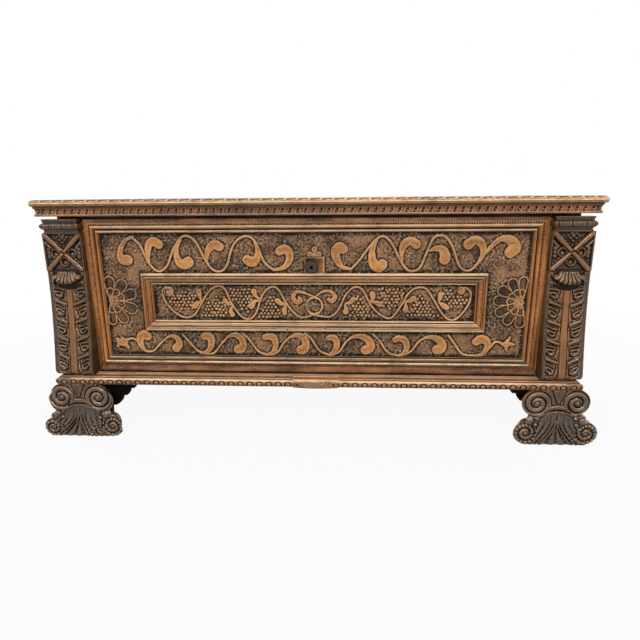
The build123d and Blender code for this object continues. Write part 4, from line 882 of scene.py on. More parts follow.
def mitred_rail(node, side, opening, width, rows, step, section, cut, painted_shade):
    """One side of a mitred frame laid on the front board.

    d is the distance from the sight edge and along that from the side's middle. section(d) is the
    height, cut(x, z, d, along) what is carved off, and the last, of (side, d, z), where painted shade and
    shadow lie.
    """
    half, low, high = opening
    level = side in ("top", "bottom")
    span = half if level else (high - low) / 2
    turns = np.linspace(-1, 1, int(2 * (span + width) / step))
    d, u = np.meshgrid(rows, turns, indexing="ij")
    along = u * (span + np.minimum(d, FRAME_STILE))
    if level:
        x, z = along, (high + d if side == "top" else low - d)
    else:
        x, z = (half + d) * (1 if side == "right" else -1), (low + high) / 2 + along
    ripple = 0.22 * np.sin(along / 37 + d / 9) + 0.16 * np.sin(along / 11.3 + 1.7 * np.sin(along / 71))
    h = np.maximum(section(d) - 0.3 + ripple - cut(x, z, d, along), 0.4)
    # corner: painted shade and shadow; worn: a painted highlight on the beads
    board(node, np.stack([x, FACE - h, z], -1), FACE, "frame rail" if level else "frame stile",
          {"corner": painted_shade(side, d, z), "worn": bead_highlight(node, d)})


def bead_highlight(node, d):
    """Painted highlight along the beads of the lower rail; none on the other pieces."""
    if node != "frame_bottom":
        return 0.0 * d
    return np.maximum(0.75 * (soft(1, 2, d) - soft(6, 7.4, d)), soft(13.8, 15.2, d) - soft(21.2, 22.6, d))


def frame_painted_shadow(side, d, z):
    """Painted shadow under the lid, along the plinth and beside the pilasters, which stand out more at their
    feet.
    """
    if side == "top":
        return soft(39, 43, d)
    if side == "bottom":
        return soft(49, 54, d) * 0.9
    reach = 4 + 16 * np.clip((480 - z) / 200, 0, 1)
    return soft(39 - reach, 39, d) * 0.95


def panel_painted_shade(side, d, z):
    """Painted shade along the outer edge of the smaller frame."""
    return soft(30, 33, d) * 0.9


def wedge_punches(pitch):
    """A row of wedge punches between the bead and the flat band."""
    def cut(x, z, d, along):
        a = (along / pitch + 0.07 * np.sin(along / 40)) % 1 - 0.5
        deep = 4.2 + 0.6 * np.sin(along / 29 + 2 * np.sin(along / 97))
        width = np.interp(d, (21.5, 22.5, 27.5, 28.5), (0.3, 0.40, 0.14, 0.02))
        return deep * soft(width + 0.1, width - 0.14, np.abs(a)) * (d > 21.5) * (d < 28.5)
    return cut


# Where nails once held the smaller frame: (x, z).
PANEL_NAILS = ((-370, 514), (-365, 362), (-243, 510), (-166, 509), (-221, 361), (-116, 362), (-75, 358),
               (168, 511), (301, 510), (41, 363), (318, 362), (374, 510), (509, 408), (503, 483))


def nail_holes(x, z, d, along):
    """Round holes where the nails were."""
    holes = [4.5 * soft(3.0, 1.0, np.hypot(x - nx, z - nz)) for nx, nz in PANEL_NAILS]
    return np.maximum.reduce(holes)


class CASSONE_OT_front(bpy.types.Operator):
    """Carves the scrolls, the grapevine and the half flowers into the front board"""
    bl_idname = "cassone.front"
    bl_label = "Carved front board"

    def execute(self, context):
        sizes, _ = settings(context)
        c = carve_front(sizes)
        level = np.clip(1 + c.height / (sizes.ground / MM), 0, 1)
        board("front_board", np.stack([c.x, FACE - c.height, c.z], -1), BOARD_BACK, "carved front",
              {"relief": level, "corner": front_shade_and_lock_dark(c, level)})
        return {"FINISHED"}


class CASSONE_OT_frames(bpy.types.Operator):
    """Runs the two mitred frames with their punches and nail holes"""
    bl_idname = "cassone.frames"
    bl_label = "Outer frame and panel moulding"

    def execute(self, context):
        punches = wedge_punches(settings(context)[0].punch / MM)
        for side in ("top", "bottom", "left", "right"):
            width = FRAME_RAIL if side in ("top", "bottom") else FRAME_STILE
            rows = spaced((0, 1, 0.5), (1, 30, 1.1), (30, width, 3))
            mitred_rail("frame_" + side, side, FRAME_OPENING, width, rows, 1.8,
                        frame_height, punches, frame_painted_shadow)
            rows = spaced((0, 1, 0.4), (1, PANEL_RAIL, 1.05))
            mitred_rail("panel_moulding_" + side, side, PANEL_OPENING, PANEL_RAIL, rows, 2.0,
                        panel_height, nail_holes, panel_painted_shade)
        return {"FINISHED"}


# ---------------------------------------------------------------- plinth

# Sections from the back at the top, round the nose, to the back below: (inset from the front, height).
PLINTH_SECTION = ((18, 33), (17, 29.5), (14, 27.2), (10, 26.6), (9.2, 26), (9, 22.6), (7, 22), (3.6, 20.6),
                  (1.4, 18), (0.4, 15), (0, 11.5), (0.4, 7.5), (1.8, 3.8), (4.2, 1.2), (7, 0))
TAB_SECTION = ((19, 36), (17.5, 32.5), (12, 30), (10, 29.6), (6.4, 27), (4.4, 25.6), (1.2, 24), (0.6, 20),
               (0.3, 13), (1, 6), (3, 2.4), (7, 0))
NOSE_MIDDLE, NOSE_TOP = 11.0, 21.4    # of the plinth's section, over its foot


def dense_section(section, step):
    """The section with points close together, and its length up to each of them."""
    p = np.array(section, float)
    run = np.concatenate([[0], np.cumsum(np.hypot(*np.diff(p, axis=0).T))])
    t = np.linspace(0, run[-1], int(run[-1] / step))
    q = np.stack([np.interp(t, run, p[:, 0]), np.interp(t, run, p[:, 1])], -1)
    for _ in range(2):
        q[1:-1] = (q[:-2] + 2 * q[1:-1] + q[2:]) / 4
    return q, t


def with_back(section, step, deep):
    """The dense section's insets and heights as columns, joined to a flat back that is so deep."""
    q, _ = dense_section(section, step)
    q = np.vstack([[deep, q[0, 1]], q, [deep, q[-1, 1]]])
    return q[:, :1], q[:, 1:]


def stretch(start, stop, step):
    """Places along a moulding, a row for each point of its section."""
    t = np.linspace(0, 1, int((stop - start).max() / step))
    return start * (1 - t) + stop * t


def along_wall(side, along, inset, height, front, flank):
    """Points of a moulding that runs along the front (side 0) or along the left or right end."""
    if side == 0:
        return np.stack([along, front + inset, height], -1)
    return np.stack([(flank - inset) * side, along, height], -1)


def lunette_cut(along, height, pitch):
    """Lunettes on the nose: a knob under an arched groove, with a dart between two."""
    a = ((along / pitch) % 1 - 0.5) * pitch
    b = height - NOSE_MIDDLE
    away = np.hypot(a, b * 1.15 + 3.5)
    groove = soft(4.2, 1.0, np.abs(away - 9.0)) * (b > -9)
    dart = soft(2.4, 0.2, np.abs(np.abs(a) - pitch / 2) + 0.15 * (b + 9)) * (b > -8) * (b < 8)
    return 2.2 * groove + 1.4 * dart


def plinth_run(part, pitch):
    """A length of plinth with its mitres; the part is front_left, front_right, left or right."""
    side, reach = {"left": -1, "right": 1}.get(part, 0), PLINTH_SIDE - PLINTH_SEAT
    inset, h = with_back(PLINTH_SECTION, 1.1, reach if side else FACE - PLINTH_FRONT)
    corner = PLINTH_SEAT + np.clip(reach - inset, 0, reach)
    ends = {"front_left": (-corner, TAB_LEFT), "front_right": (TAB_RIGHT, corner)}
    start, stop = ends.get(part, (PLINTH_FRONT + np.clip(inset, 0, reach), SIDE_END))
    along = stretch(start, stop, 1.8)
    cut = lunette_cut(along, h, pitch) * ((h > 1) & (h < NOSE_TOP) & (inset < 8))
    cut = np.maximum(cut + 0.15 * np.sin(along / 23 + h / 5), 0)
    cut[[0, -1]] = 0
    # the front run darkens toward its ends
    darker_ends = 0.0 * along if side else soft(762, 772, np.abs(along)) * 0.4
    # painted highlight along the upper roll of the nose, kept off the darker ends
    worn = 0.95 * (soft(16.5, 18.2, h) - soft(21.8, 22.6, h)) * (1 - darker_ends)
    grid = along_wall(side, along, inset + cut, CHEST_FOOT + h + 0 * along, PLINTH_FRONT, PLINTH_SIDE)
    wrapped("base_moulding_" + part, grid, "plinth side wood" if side else "plinth wood",
            {"corner": darker_ends, "worn": worn})


def plinth_tab():
    """The middle tab: a broad reeded lunette between two plain ends, its lower edge bowed."""
    q, _ = dense_section(TAB_SECTION, 1.0)
    along, half = np.linspace(TAB_LEFT, TAB_RIGHT, 96), (TAB_RIGHT - TAB_LEFT) / 2
    a, h = np.meshgrid(along - (TAB_LEFT + TAB_RIGHT) / 2, q[:, 1])
    away, turn = np.hypot(a * 0.62, h - 27), np.arctan2(a * 0.62, 27 - h)
    fan = (np.abs(a) < 50) & (h > 0.8) & (h < 24.5)
    reeds = 1.8 * (0.5 - 0.5 * np.cos(turn * 16)) * soft(20, 18, away) * soft(5, 9, away)
    arch = 3.0 * soft(1.9, 0.4, np.abs(away - 21.5))
    outer = 2.0 * soft(1.5, 0.4, np.abs(away - 26.5))
    corner = 1.8 * soft(5, 2.5, np.hypot(np.abs(a) - 56, (h - 13) * 0.8))
    cut = np.where(fan, reeds + arch + outer, 0) + corner
    bow = 2.6 * soft(8, 0, h) * (1 - (a / half) ** 2)
    z = np.clip(TAB_FOOT + 2.8 * soft(10, 0, h) - bow + h, TAB_FOOT + 0.1, TAB_TOP)
    # painted highlight on the top band and over the fan
    worn = np.maximum(0.9 * (soft(23, 25, h) - soft(28.5, 30, h)), 0.45 * soft(28, 25, away) * fan)
    board("base_tab", np.stack([along + 0 * a, TAB_FRONT + q[:, :1] + cut, z], -1), FACE, "plinth wood",
          {"worn": worn})


class CASSONE_OT_plinth(bpy.types.Operator):
    """Runs the plinth with its lunettes and the reeded tab in its middle"""
    bl_idname = "cassone.plinth"
    bl_label = "Plinth"

    def execute(self, context):
        for part in ("front_left", "front_right", "left", "right"):
            plinth_run(part, settings(context)[0].lunette / MM)
        plinth_tab()
        return {"FINISHED"}


# ---------------------------------------------------------------- lid

# Sections of the lid's edge and of the moulding under it, from the top down: (inset, height).
LID_EDGE = ((12, 19), (9, 18.8), (6, 18), (3.4, 16.4), (1.6, 14), (0.9, 12.2), (1.5, 11.4), (1.4, 10.8),
            (0.2, 10.2), (0, 8.6), (0.5, 7.4), (1.3, 6.8), (0.9, 6), (1, 3.6), (2.2, 1.6), (4, 0.4), (6, 0),
            (16, 0))
UNDER_SECTION = ((0, 28), (0, 23), (1.6, 22.6), (3.6, 20), (4.4, 16), (4.6, 11), (4.2, 7), (2.2, 6.4),
                 (1.5, 5), (1.4, 3), (2.4, 0.8), (4, 0))
LEAF_TOP = 21.5    # of the leaf cuts, over the foot of that moulding


def lid_outline(inset):
    """Plan of the lid at an inset, from the back left round the front, its two corners rounded."""
    half, front, r = LID_HALF - inset, LID_FRONT + inset, LID_CORNER - inset * 0.6
    side = np.linspace(LID_BACK, front + r, 162)[:-1]
    turn = np.linspace(math.pi, 1.5 * math.pi, 16)
    corner = np.stack([-half + r + r * np.cos(turn), front + r + r * np.sin(turn)], -1)
    edge = np.linspace(-half + r, half - r, 795)[1:-1]
    left = np.vstack([np.stack([np.full_like(side, -half), side], -1), corner])
    right = left[::-1] * (-1, 1)
    return np.vstack([left, np.stack([edge, np.full_like(edge, front)], -1), right])


def carve_lid(scallop):
    """The lid board with slanted scallops on the upper half of its edge."""
    q, run = dense_section(LID_EDGE, 0.9)
    base = lid_outline(0)
    walked = np.concatenate([[0], np.cumsum(np.hypot(*np.diff(base, axis=0).T))])
    walked = walked - walked[-1] / 2
    height = q[:, 1:]
    a = ((walked / scallop) % 1 - 0.5) * scallop
    b = run[:, None] - 8.4
    oval = ((a + 1.6 * b) / (scallop * 0.41)) ** 2 + (b / 5.2) ** 2
    cut = 2.6 * soft(1.1, 0.55, oval) * (height > 12.4)
    cut = cut + 0.35 * np.clip(np.sin(walked / 41 + np.sin(walked / 173) * 2), 0, 1)
    rows = []
    for (inset, up), deep in zip(q, cut):
        xy = lid_outline(inset)
        out = np.gradient(xy, axis=0)
        normal = np.stack([out[:, 1], -out[:, 0]], -1)
        normal /= np.maximum(np.hypot(*normal.T)[:, None], 1e-6)
        xy = xy - normal * np.sign((normal * xy).sum(-1))[:, None] * deep[:, None]
        rows.append(np.column_stack([xy, RIM + up - 0.35 * deep * (up > 15)]))
    grid = np.array(rows)
    n, m = grid.shape[:2]
    index = np.arange(n * m).reshape(n, m)
    faces = quads(np.hstack([index, index[:, :1]])) + [index[0][::-1].tolist(), index[-1].tolist()]
    # painted shade on the underside of the lid's edge
    under = np.repeat(soft(3.5, 1.5, q[:, 1]) * (q[:, 0] < 9), m)
    # painted highlight along the nose
    nose = np.repeat(soft(7.2, 8.4, q[:, 1]) * soft(11.4, 10.4, q[:, 1]), m)
    return finish_piece("lid_board", grid.reshape(-1, 3), faces, "lid wood",
                        {"corner": under, "worn": nose}, "lid")


def clear_knuckles(piece):
    """Cuts the lid away over the hinge knuckles, as the CAD board is."""
    boxes = bmesh.new()
    size = Matrix.Diagonal((*(v * MM for v in KNUCKLE_BOX), 1))
    for place in KNUCKLES:
        bmesh.ops.create_cube(boxes, size=1.0, matrix=Matrix.Translation(Vector(place) * MM) @ size)
    mesh = bpy.data.meshes.new("knuckle boxes")
    boxes.to_mesh(mesh)
    boxes.free()
    cutter = bpy.data.objects.new("knuckle boxes", mesh)
    bpy.context.scene.collection.objects.link(cutter)
    cut = piece.modifiers.new("knuckles", "BOOLEAN")
    cut.operation, cut.solver, cut.object = "DIFFERENCE", "EXACT", cutter
    deps = bpy.context.evaluated_depsgraph_get()
    result = bpy.data.meshes.new_from_object(piece.evaluated_get(deps))
    piece.modifiers.clear()
    piece.data = result
    bpy.data.objects.remove(cutter)


def lid_moulding(part, side, pitch):
    """The moulding under the lid, with slanted leaf cuts in its cove."""
    inset, h = with_back(UNDER_SECTION, 1.0, 22.0 if side else 28.0)
    ends = (UNDER_FRONT + inset, SIDE_END) if side else (-UNDER_SIDE + inset, UNDER_SIDE - inset)
    along = stretch(*ends, 1.7)
    a = ((along / pitch) % 1 - 0.5) * pitch
    lean = a - 0.35 * (h - 13)
    width = np.interp(h, (6.4, 9, 15, 20, LEAF_TOP), (4.6, 5.2, 4.6, 2.6, 0.4))
    pit = soft(1.0, 0.55, np.abs(lean) / width) * (h < LEAF_TOP)
    knob = soft(1.0, 0.3, np.hypot(lean / 3.2, (h - 10.8) / 3.8))
    cut = 4.4 * pit * (1 - knob) * (h > 6.4) + 0.2 * np.clip(np.sin(along / 31), 0, 1)
    cut[[0, -1]] = 0
    height = UNDER_FOOT + h + 0 * along
    # the front run darkens toward its ends
    darker_ends = 0.0 if side else soft(776, 790, np.abs(along)) * 0.5
    grid = along_wall(side, along, inset + cut, height, UNDER_FRONT, UNDER_SIDE)
    # corner: a painted shadow along the top, under the lid, and the darker ends
    wrapped("lid_moulding_" + part, grid, "lid side wood" if side else "lid red wood",
            {"corner": np.maximum(soft(726, 730, height), darker_ends)}, "lid")


class CASSONE_OT_lid(bpy.types.Operator):
    """Rounds and scallops the lid and runs the moulding under it"""
    bl_idname = "cassone.lid"
    bl_label = "Lid"

    def execute(self, context):
        sizes, _ = settings(context)
        clear_knuckles(carve_lid(sizes.scallop / MM))
        for part, side in (("front", 0), ("left", -1), ("right", 1)):
            lid_moulding(part, side, sizes.leaf / MM)
        return {"FINISHED"}


# ---------------------------------------------------------------- pilasters

BLOCK_GROUND = -7.5             # height of a block's ground
SHAFT_SEED, FOOT_SEED = 3, 5    # starts of the random choices on the shafts and the feet


def shaft_projection(z):
    """How far the shaft stands off the front board: it sweeps forward and rounds under at its foot."""
    t = np.clip((SHAFT_TOP - z) / (SHAFT_TOP - SHAFT_BELLY), 0, 1)
    r = SHAFT_BELLY - SHAFT_FOOT
    round_foot = 31.0 + np.sqrt(np.clip(r * r - (SHAFT_BELLY - z) ** 2, 0, r * r))
    return np.where(z < SHAFT_BELLY, round_foot, 21.0 + 32.0 * t ** 1.7)


def carve_tier(c, line, tier, turn, a, reach):
    """One tier of acanthus below a line: rippled lobes, a smooth inner lobe and a curled tip.

    a is 0 at the rib and 1 at the edge, reach the distance between them. Gives where the leaf is smooth.
    """
    t = c.z - line
    below = (t < -2.2) & (t > 11.0 - tier)
    wave = np.cos(2 * np.pi * (t / 10.5 + 0.16 * np.sin(6.0 * a + turn)))
    c.lay(below, -5.2 + 2.8 * wave * soft(0.30, 0.42, a) * soft(1.0, 0.9, a))
    inner = below & (a < 0.30)
    c.lay(inner, -3.4 - 1.5 * soft(-20, -40, t))
    turned = np.hypot((a - 0.66) * reach, t + 25.0)
    curl = below & (t < -22.0)
    c.lay(curl & (np.abs(turned - 10.0) < 3.4), rounded_bead(turned, 10.0, 3.4, -6.5, 5.4))
    c.lay(curl & (np.abs(turned - 15.0) < 1.5), -9.5)
    seam = np.abs(a - 0.30 - 0.10 * np.sin(t / 7.0)) * reach
    c.lay((t < -1.5) & (t > -24.0) & (seam < 1.5), -10.0)
    c.lay((t > -1.0) & (t < 11.6), np.maximum(rounded_bead(t, 5.3, 6.3, -8.0, 9.5), -8.0))
    c.lay((t < -0.4) & (t > -2.8) & (a < 0.96) & (a > 0.25), -11.0)
    return inner


def carve_shaft(tier):
    """A shell of gadroons above, then tiers of acanthus each side of a smooth rib. u is outwards."""
    c = Carving(spaced((-PILASTER_HALF, PILASTER_HALF, 1.45)), spaced((SHAFT_FOOT, SHAFT_TOP, 1.45)), -6.0)
    u, z = c.x, c.z
    rib = np.interp(z, (SHAFT_FOOT, 500), (11.0, 8.0))
    edge = np.where(u > 0, 46.0, 51.0)
    a = np.clip((np.abs(u) - rib) / (edge - rib), 0, 1)
    smooth = np.zeros_like(u)
    for k in range(-1, 6):
        inner = carve_tier(c, 262.0 + tier * k + 16.0 * a ** 0.9, tier, 2 * k, a, edge - rib)
        smooth = np.where(inner, 0.55, smooth)
    border = soft(0.95, 1.0, a)
    c.height = c.height * (1 - border) - 1.8 * border
    middle = np.abs(u) / rib
    c.lay(middle < 1, -1.4 - 2.0 * np.clip(middle, 0, 1) ** 3)
    c.lay((middle > 1) & (np.abs(u) < rib + 1.9), -9.0)
    c.height = blurred(c.height, 1)
    shell_foot = 484 + 16 * (u / 44) ** 2
    shell = np.abs(u) < 44
    c.lay((z > shell_foot) & shell, -9.0 - 3.0 * soft(508, 490, z))
    rng = np.random.default_rng(SHAFT_SEED)
    waves = 0.35 * np.sin(u / 7 + 3 * np.sin(z / 23)) * np.sin(z / 9)
    c.height = np.minimum(c.height + waves + rng.normal(0, 0.06, u.shape), 1.5)
    for i in (-3, 3, -2, 2, -1, 1, 0):
        tip = 501.0 + 1.6 * i * i
        spine = ((i * 6.8, 544, 3.6), (i * 9.2, 526, 5.6), (i * 12.0, tip + 8, 8.0), (i * 12.2, tip + 7, 8.0))
        w, away, _, _, _ = c.along(spine)
        swell = 9.0 + 13.0 * soft(542, 512, c.z[w])
        c.raise_to(away < 1, -9.0 + swell * np.sqrt(np.clip(1 - away ** 3, 0, 1)), w)
    # painted shadow under the shell and painted shade under the rounded foot; the top darkens along the joint
    # with the block
    under_shell = soft(505, 498, z) * soft(-1, 4, z - shell_foot) * shell
    c.values = {"rib": np.maximum(soft(1.05, 0.85, middle), smooth) * (z < 484) * 0.9,
                "corner": np.maximum.reduce([under_shell, soft(224, 217, z), soft(537, 540, z) * 0.8])}
    return c


def carve_block():
    """A saltire of smooth ribs; lobes and berries above, ringed lobes at the sides, an arch below."""
    half = (BLOCK_TOP - SHAFT_TOP) / 2
    c = Carving(spaced((-PILASTER_HALF, PILASTER_HALF, 1.35)), spaced((SHAFT_TOP, BLOCK_TOP, 1.35)),
                BLOCK_GROUND)
    u, w = c.x, c.z - (SHAFT_TOP + half)

    def dome(x, y, r, top=-0.2, pit=0.0):
        away = np.hypot(u - x, w - y) / r
        round_top = BLOCK_GROUND + (top - BLOCK_GROUND) * np.sqrt(np.clip(1 - away ** 2, 0, 1))
        c.raise_to(away < 1, round_top - pit * soft(0.5, 0.25, away))

    def arch(x, y, r, width):
        away = np.hypot(u - x, w - y)
        c.lay(away < r, -9.5)
        c.lay(np.abs(away - r) < width, rounded_bead(away, r, width, BLOCK_GROUND, 6.8))

    for side in (-1, 1):
        for i, r in enumerate((5.2, 5.8, 6.2, 6.2)):
            dome(side * (12 + 10 * i), 20 + 8.5 * i, r)
        for i in range(4):
            dome(side * (33 + 7 * i), -22 - 8 * i, 5.0, top=-1.2)
            dome(side * (40 + 4.5 * i), 14 + 5 * i, 4.6, top=-1.2)
    for x, y in ((-8, 38), (8, 38), (0, 30), (0, 44), (-15, 46), (15, 46), (-5, 51), (6, 51)):
        dome(x, y, 4.6, pit=3.0)
    for side in (-1, 1):
        arch(side * 26, -2, 12.0, 2.8)
        for y in (-13, -2, 9):
            dome(side * 46, y, 6.0, top=-1.0, pit=3.5)
        dome(side * 26, -6, 6.0, top=-4.0)
    arch(0, -28, 12.5, 2.8)
    dome(0, -32, 6.0, top=-4.5)
    for sign in (1, -1):
        d = np.abs(u - sign * w) / math.sqrt(2)
        width = 7.0 + 3.0 * soft(10, 50, np.hypot(u, w))
        c.raise_to(d < width * 0.72, 1.5 - 4.0 * np.clip(d / width, 0, 1) ** 2)
        c.lay((d > width * 0.72) & (d < width * 0.72 + 1.6), np.minimum(c.height, -7.0))
    c.lay(np.hypot(u, w + 1) < 3.5, -3.5)
    border = np.minimum(PILASTER_HALF - np.abs(u), half - np.abs(w))
    c.lay(border < 3.0, -1.6)
    c.height = np.where(c.z < SHAFT_TOP + 1.5, -5.0, blurred(c.height, 1))
    d = np.minimum(np.abs(u - w), np.abs(u + w)) / math.sqrt(2)
    # corner: a painted shadow under the cap; the foot darkens along the joint with the shaft
    c.values = {"rib": soft(8.0, 5.0, d) * 0.55,
                "corner": np.maximum(soft(651, 655, c.z), soft(545, 541, c.z))}
    return c


def pilaster_piece(node, c, out, front):
    """Sets a carving, drawn from the pilaster's middle outwards, on the front board."""
    y = FACE - np.maximum(front + c.height, 2.0)
    board(node, np.stack([out * (PILASTER_MIDDLE + c.x), y, c.z], -1), FACE, "pilaster wood", c.values)


# Section of the cap, from its top down: height over its foot, half width, and how far it stands forward.
CAP_SECTION = ((42, 52.4, 31.8), (41.2, 53.5, 33), (38.6, 53.5, 33), (37.8, 52.6, 32), (33, 51.4, 30.5),
               (30.2, 51.2, 30.2), (29.4, 53, 32.4), (27.6, 56.8, 36.2), (24.8, 58.2, 37.7), (21, 58.5, 38),
               (17, 58, 37.4), (14, 56, 35.2), (12.2, 53, 32), (11.4, 52, 30), (8, 51, 27.4),
               (3.6, 52.6, 26.6), (2.8, 53.5, 28), (0, 53.5, 28))
REEL_PITCH, REEL_CUTS = 38.0, (1.5, 21.5, 28.0, 36.5)    # of the bead and reel, and where it is cut in


def carve_cap(node, out):
    """Plate, bead and reel, and neck, returned along both sides."""
    p = np.array(CAP_SECTION, float)
    run = np.concatenate([[0], np.cumsum(np.abs(np.diff(p, axis=0)).sum(1))])
    t = np.linspace(0, run[-1], 60)
    rows = np.stack([np.interp(t, run, p[:, i]) for i in range(3)], -1)
    grid = []
    for height, half, front in rows:
        side = np.linspace(0, front, 18)[:-1]
        face = np.linspace(-half, half, 82)
        flank = np.full(len(side), 1.0)
        x = np.concatenate([-half * flank, face, half * flank])
        y = np.concatenate([side, np.full(len(face), front), side[::-1]])
        walked = np.concatenate([-half - front + side, face, half + front - side[::-1]])
        a = (walked + 9.0) % REEL_PITCH
        bead = np.maximum.reduce([soft(1.5, 0.3, np.abs(a - at)) for at in REEL_CUTS])
        cut = 1.7 * bead * float(soft(8.4, 7.2, abs(height - 20.5)))
        nx = np.concatenate([-flank, 0 * face, flank])
        x, y = x - nx * cut, y - (nx == 0) * cut
        grid.append(np.stack([out * (CAP_MIDDLE + x), FACE - y, np.full(len(x), BLOCK_TOP + height)], -1))
    grid = np.array(grid)
    index = np.arange(grid[..., 0].size).reshape(grid.shape[:2])
    faces = quads(index) + quads(index[:, [-1, 0]]) + [index[0][::-1].tolist(), index[-1].tolist()]
    finish_piece(node, grid.reshape(-1, 3), faces, "pilaster wood")


class CASSONE_OT_pilasters(bpy.types.Operator):
    """Carves the two pilasters: cap, block and acanthus shaft"""
    bl_idname = "cassone.pilasters"
    bl_label = "Pilasters"

    def execute(self, context):
        shaft, block = carve_shaft(settings(context)[0].tier / MM), carve_block()
        for side, out in (("left", -1), ("right", 1)):
            pilaster_piece("pilaster_shaft_" + side, shaft, out, shaft_projection(shaft.z))
            pilaster_piece("pilaster_block_" + side, block, out, BLOCK_FRONT)
            carve_cap("pilaster_cap_" + side, out)
        return {"FINISHED"}


# ---------------------------------------------------------------- feet

# Discs of each foot's outline: (across, outwards from its middle; up; radius).
FOOT_DISCS = {
    "left": ((53, 139, 41), (60, 122, 42), (-62, 139, 39), (-66, 124, 43), (100, 30, 29), (94, 22, 27),
             (-101, 37, 35), (-98, 27, 29), (92, 68, 11), (84, 57, 10), (-84, 76, 14), (66, 64, 26),
             (-68, 66, 26)),
    "right": ((54, 141, 41), (-66, 138, 42), (93, 38, 36), (-90, 37, 36), (78, 86, 12), (-78, 82, 12),
              (64, 68, 24), (-64, 68, 24)),
}
# Volutes carved on it: (across, up, radius, gouge cuts across the rim).
FOOT_VOLUTES = {
    "left": ((57, 135, 44, 0), (-62, 134, 44, 0), (99, 29, 28, 9), (-100, 36, 34, 15)),
    "right": ((56, 138, 43, 0), (-63, 136, 44, 0), (93, 38, 35, 15), (-90, 37, 35, 15)),
}


def outside_foot(side, u, z):
    """How far each point lies outside a scroll foot's outline; below zero is wood."""
    discs = [np.hypot(u - x, z - up) - r for x, up, r in FOOT_DISCS[side]]
    body = np.maximum(np.abs(u) - 61, z - CHEST_FOOT)
    base = np.maximum(np.abs(u + 2) - 98, z - 24)
    return np.minimum.reduce(discs + [body, base])


def carve_volute(c, x, z, radius, turn, ticks):
    """A scroll whose round band coils in to an eye; ticks are gouge cuts across its rim."""
    dx, dz = (c.x - x) * turn, c.z - z
    away, spin = np.hypot(dx, dz), np.arctan2(dz, dx)
    eye, pitch = radius * 0.22, radius / 2.35
    coil = (away / pitch - spin / (2 * np.pi) + 0.1) % 1
    band = -8.5 + 8.2 * np.sqrt(np.clip(1 - ((coil - 0.5) / 0.44) ** 2, 0, 1))
    if ticks:
        band = band - 3.4 * soft(radius * 0.34, radius * 0.5, away) * soft(0.0, 0.8, np.cos(spin * ticks))
    c.lay(away < radius, np.where(away < eye, np.maximum(-5.0 * (away / eye) ** 2, -8), band))


def carve_tent(c, sweep):
    """A leaf that parts like a tent above the floor, with ribs inside it and folds outside."""
    z = c.z
    v = c.x - sweep * 32.0 * np.clip((104.0 - z) / 104.0, 0, 1) ** 1.5
    flare = 2.0 + 48.0 * np.clip((78.0 - z) / 78.0, 0, 1) ** 1.6
    beside, rim = np.abs(v) > flare, np.abs(np.abs(v) - flare)
    q = (np.abs(v) - flare) / 17.0
    c.height = -3.2 - 1.5 * np.cos(2 * np.pi * q) * soft(98, 40, z) - 2.0 * soft(2.0, 3.4, q)
    c.lay((np.abs(v) < flare) & (z < 78), -4.6 - 2.0 * np.cos(np.pi * 3 * v / flare))
    c.lay((rim < 3.0) & (z < 80), rounded_bead(rim, 0, 3.0, -5.0, 5.4))
    c.lay((np.abs(rim - 4.8) < 1.8) & beside & (z < 84), -10.0)
    crown = np.hypot(v / 22.0, (z - 86.0) / 24.0)
    c.raise_to((crown < 1) & (z > 62) & beside, -0.8 - 3.5 * crown ** 2)
    c.lay(z >= 112, -6.5)
    return crown


def carve_foot(side, sweep):
    """Front of a scroll foot: four volutes, a collar, and a leaf that parts like a tent above the floor."""
    c = Carving(spaced((-130.5, 130.5, 1.5)), spaced((-1.5, 182.5, 1.5)), 0)
    u, z = c.x, c.z
    crown = carve_tent(c, sweep)
    top = (z > 134) & (np.abs(u) < 46)
    c.lay(top, -1.6 - 3.2 * np.clip((np.abs(u) - 12) / 34, 0, 1) ** 2)
    wedge = 3.0 + (z - 134.0) * 0.42
    c.lay(top & (np.abs(np.abs(u) - wedge) < 1.7), -8.5)
    for x, up, radius, gouges in FOOT_VOLUTES[side]:
        out = 1 if x > 0 else -1
        carve_volute(c, x, up, radius, out if up > 80 else -out, gouges)
    for out in (-1, 1):
        for x, up, r in ((80, 78, 14), (58, 88, 8), (62, 66, 7), (70, 94, 6)):
            away = np.hypot(u - out * x, z - up) / r
            c.raise_to(away < 1, -6.0 * away ** 2)
    collar = z - (125.0 - u ** 2 / 170.0)
    c.lay((np.abs(collar) < 7) & (np.abs(u) < 30), rounded_bead(collar, 0, 7.5, -6.0, 6.5))
    c.lay((np.abs(collar + 10.5) < 1.9) & (np.abs(u) < 42), -9.5)
    rng = np.random.default_rng(FOOT_SEED)
    lively = soft(20, -30, u * (1 if sweep > 0.5 else -0.2)) * soft(64, 44, z)
    c.height = c.height + 2.6 * blurred(rng.normal(0, 1, u.shape), 2) * (0.25 + lively)
    depth = np.clip(-outside_foot(side, u, z), 0, 8) / 8
    c.height = np.clip(blurred(c.height, 1), -10.5, 0) - 4.0 * (1 - np.sqrt(1 - (1 - depth) ** 2))
    red = (soft(8, 6, np.abs(collar)) * (np.abs(u) < 31), 0.8 * top * soft(46, 38, np.abs(u)),
           0.8 * soft(1.1, 0.6, crown))
    # corner: painted shade at the top, under the plinth
    c.values = {"rib": np.maximum.reduce(red), "corner": soft(172, 180, z) * 0.8}
    return c


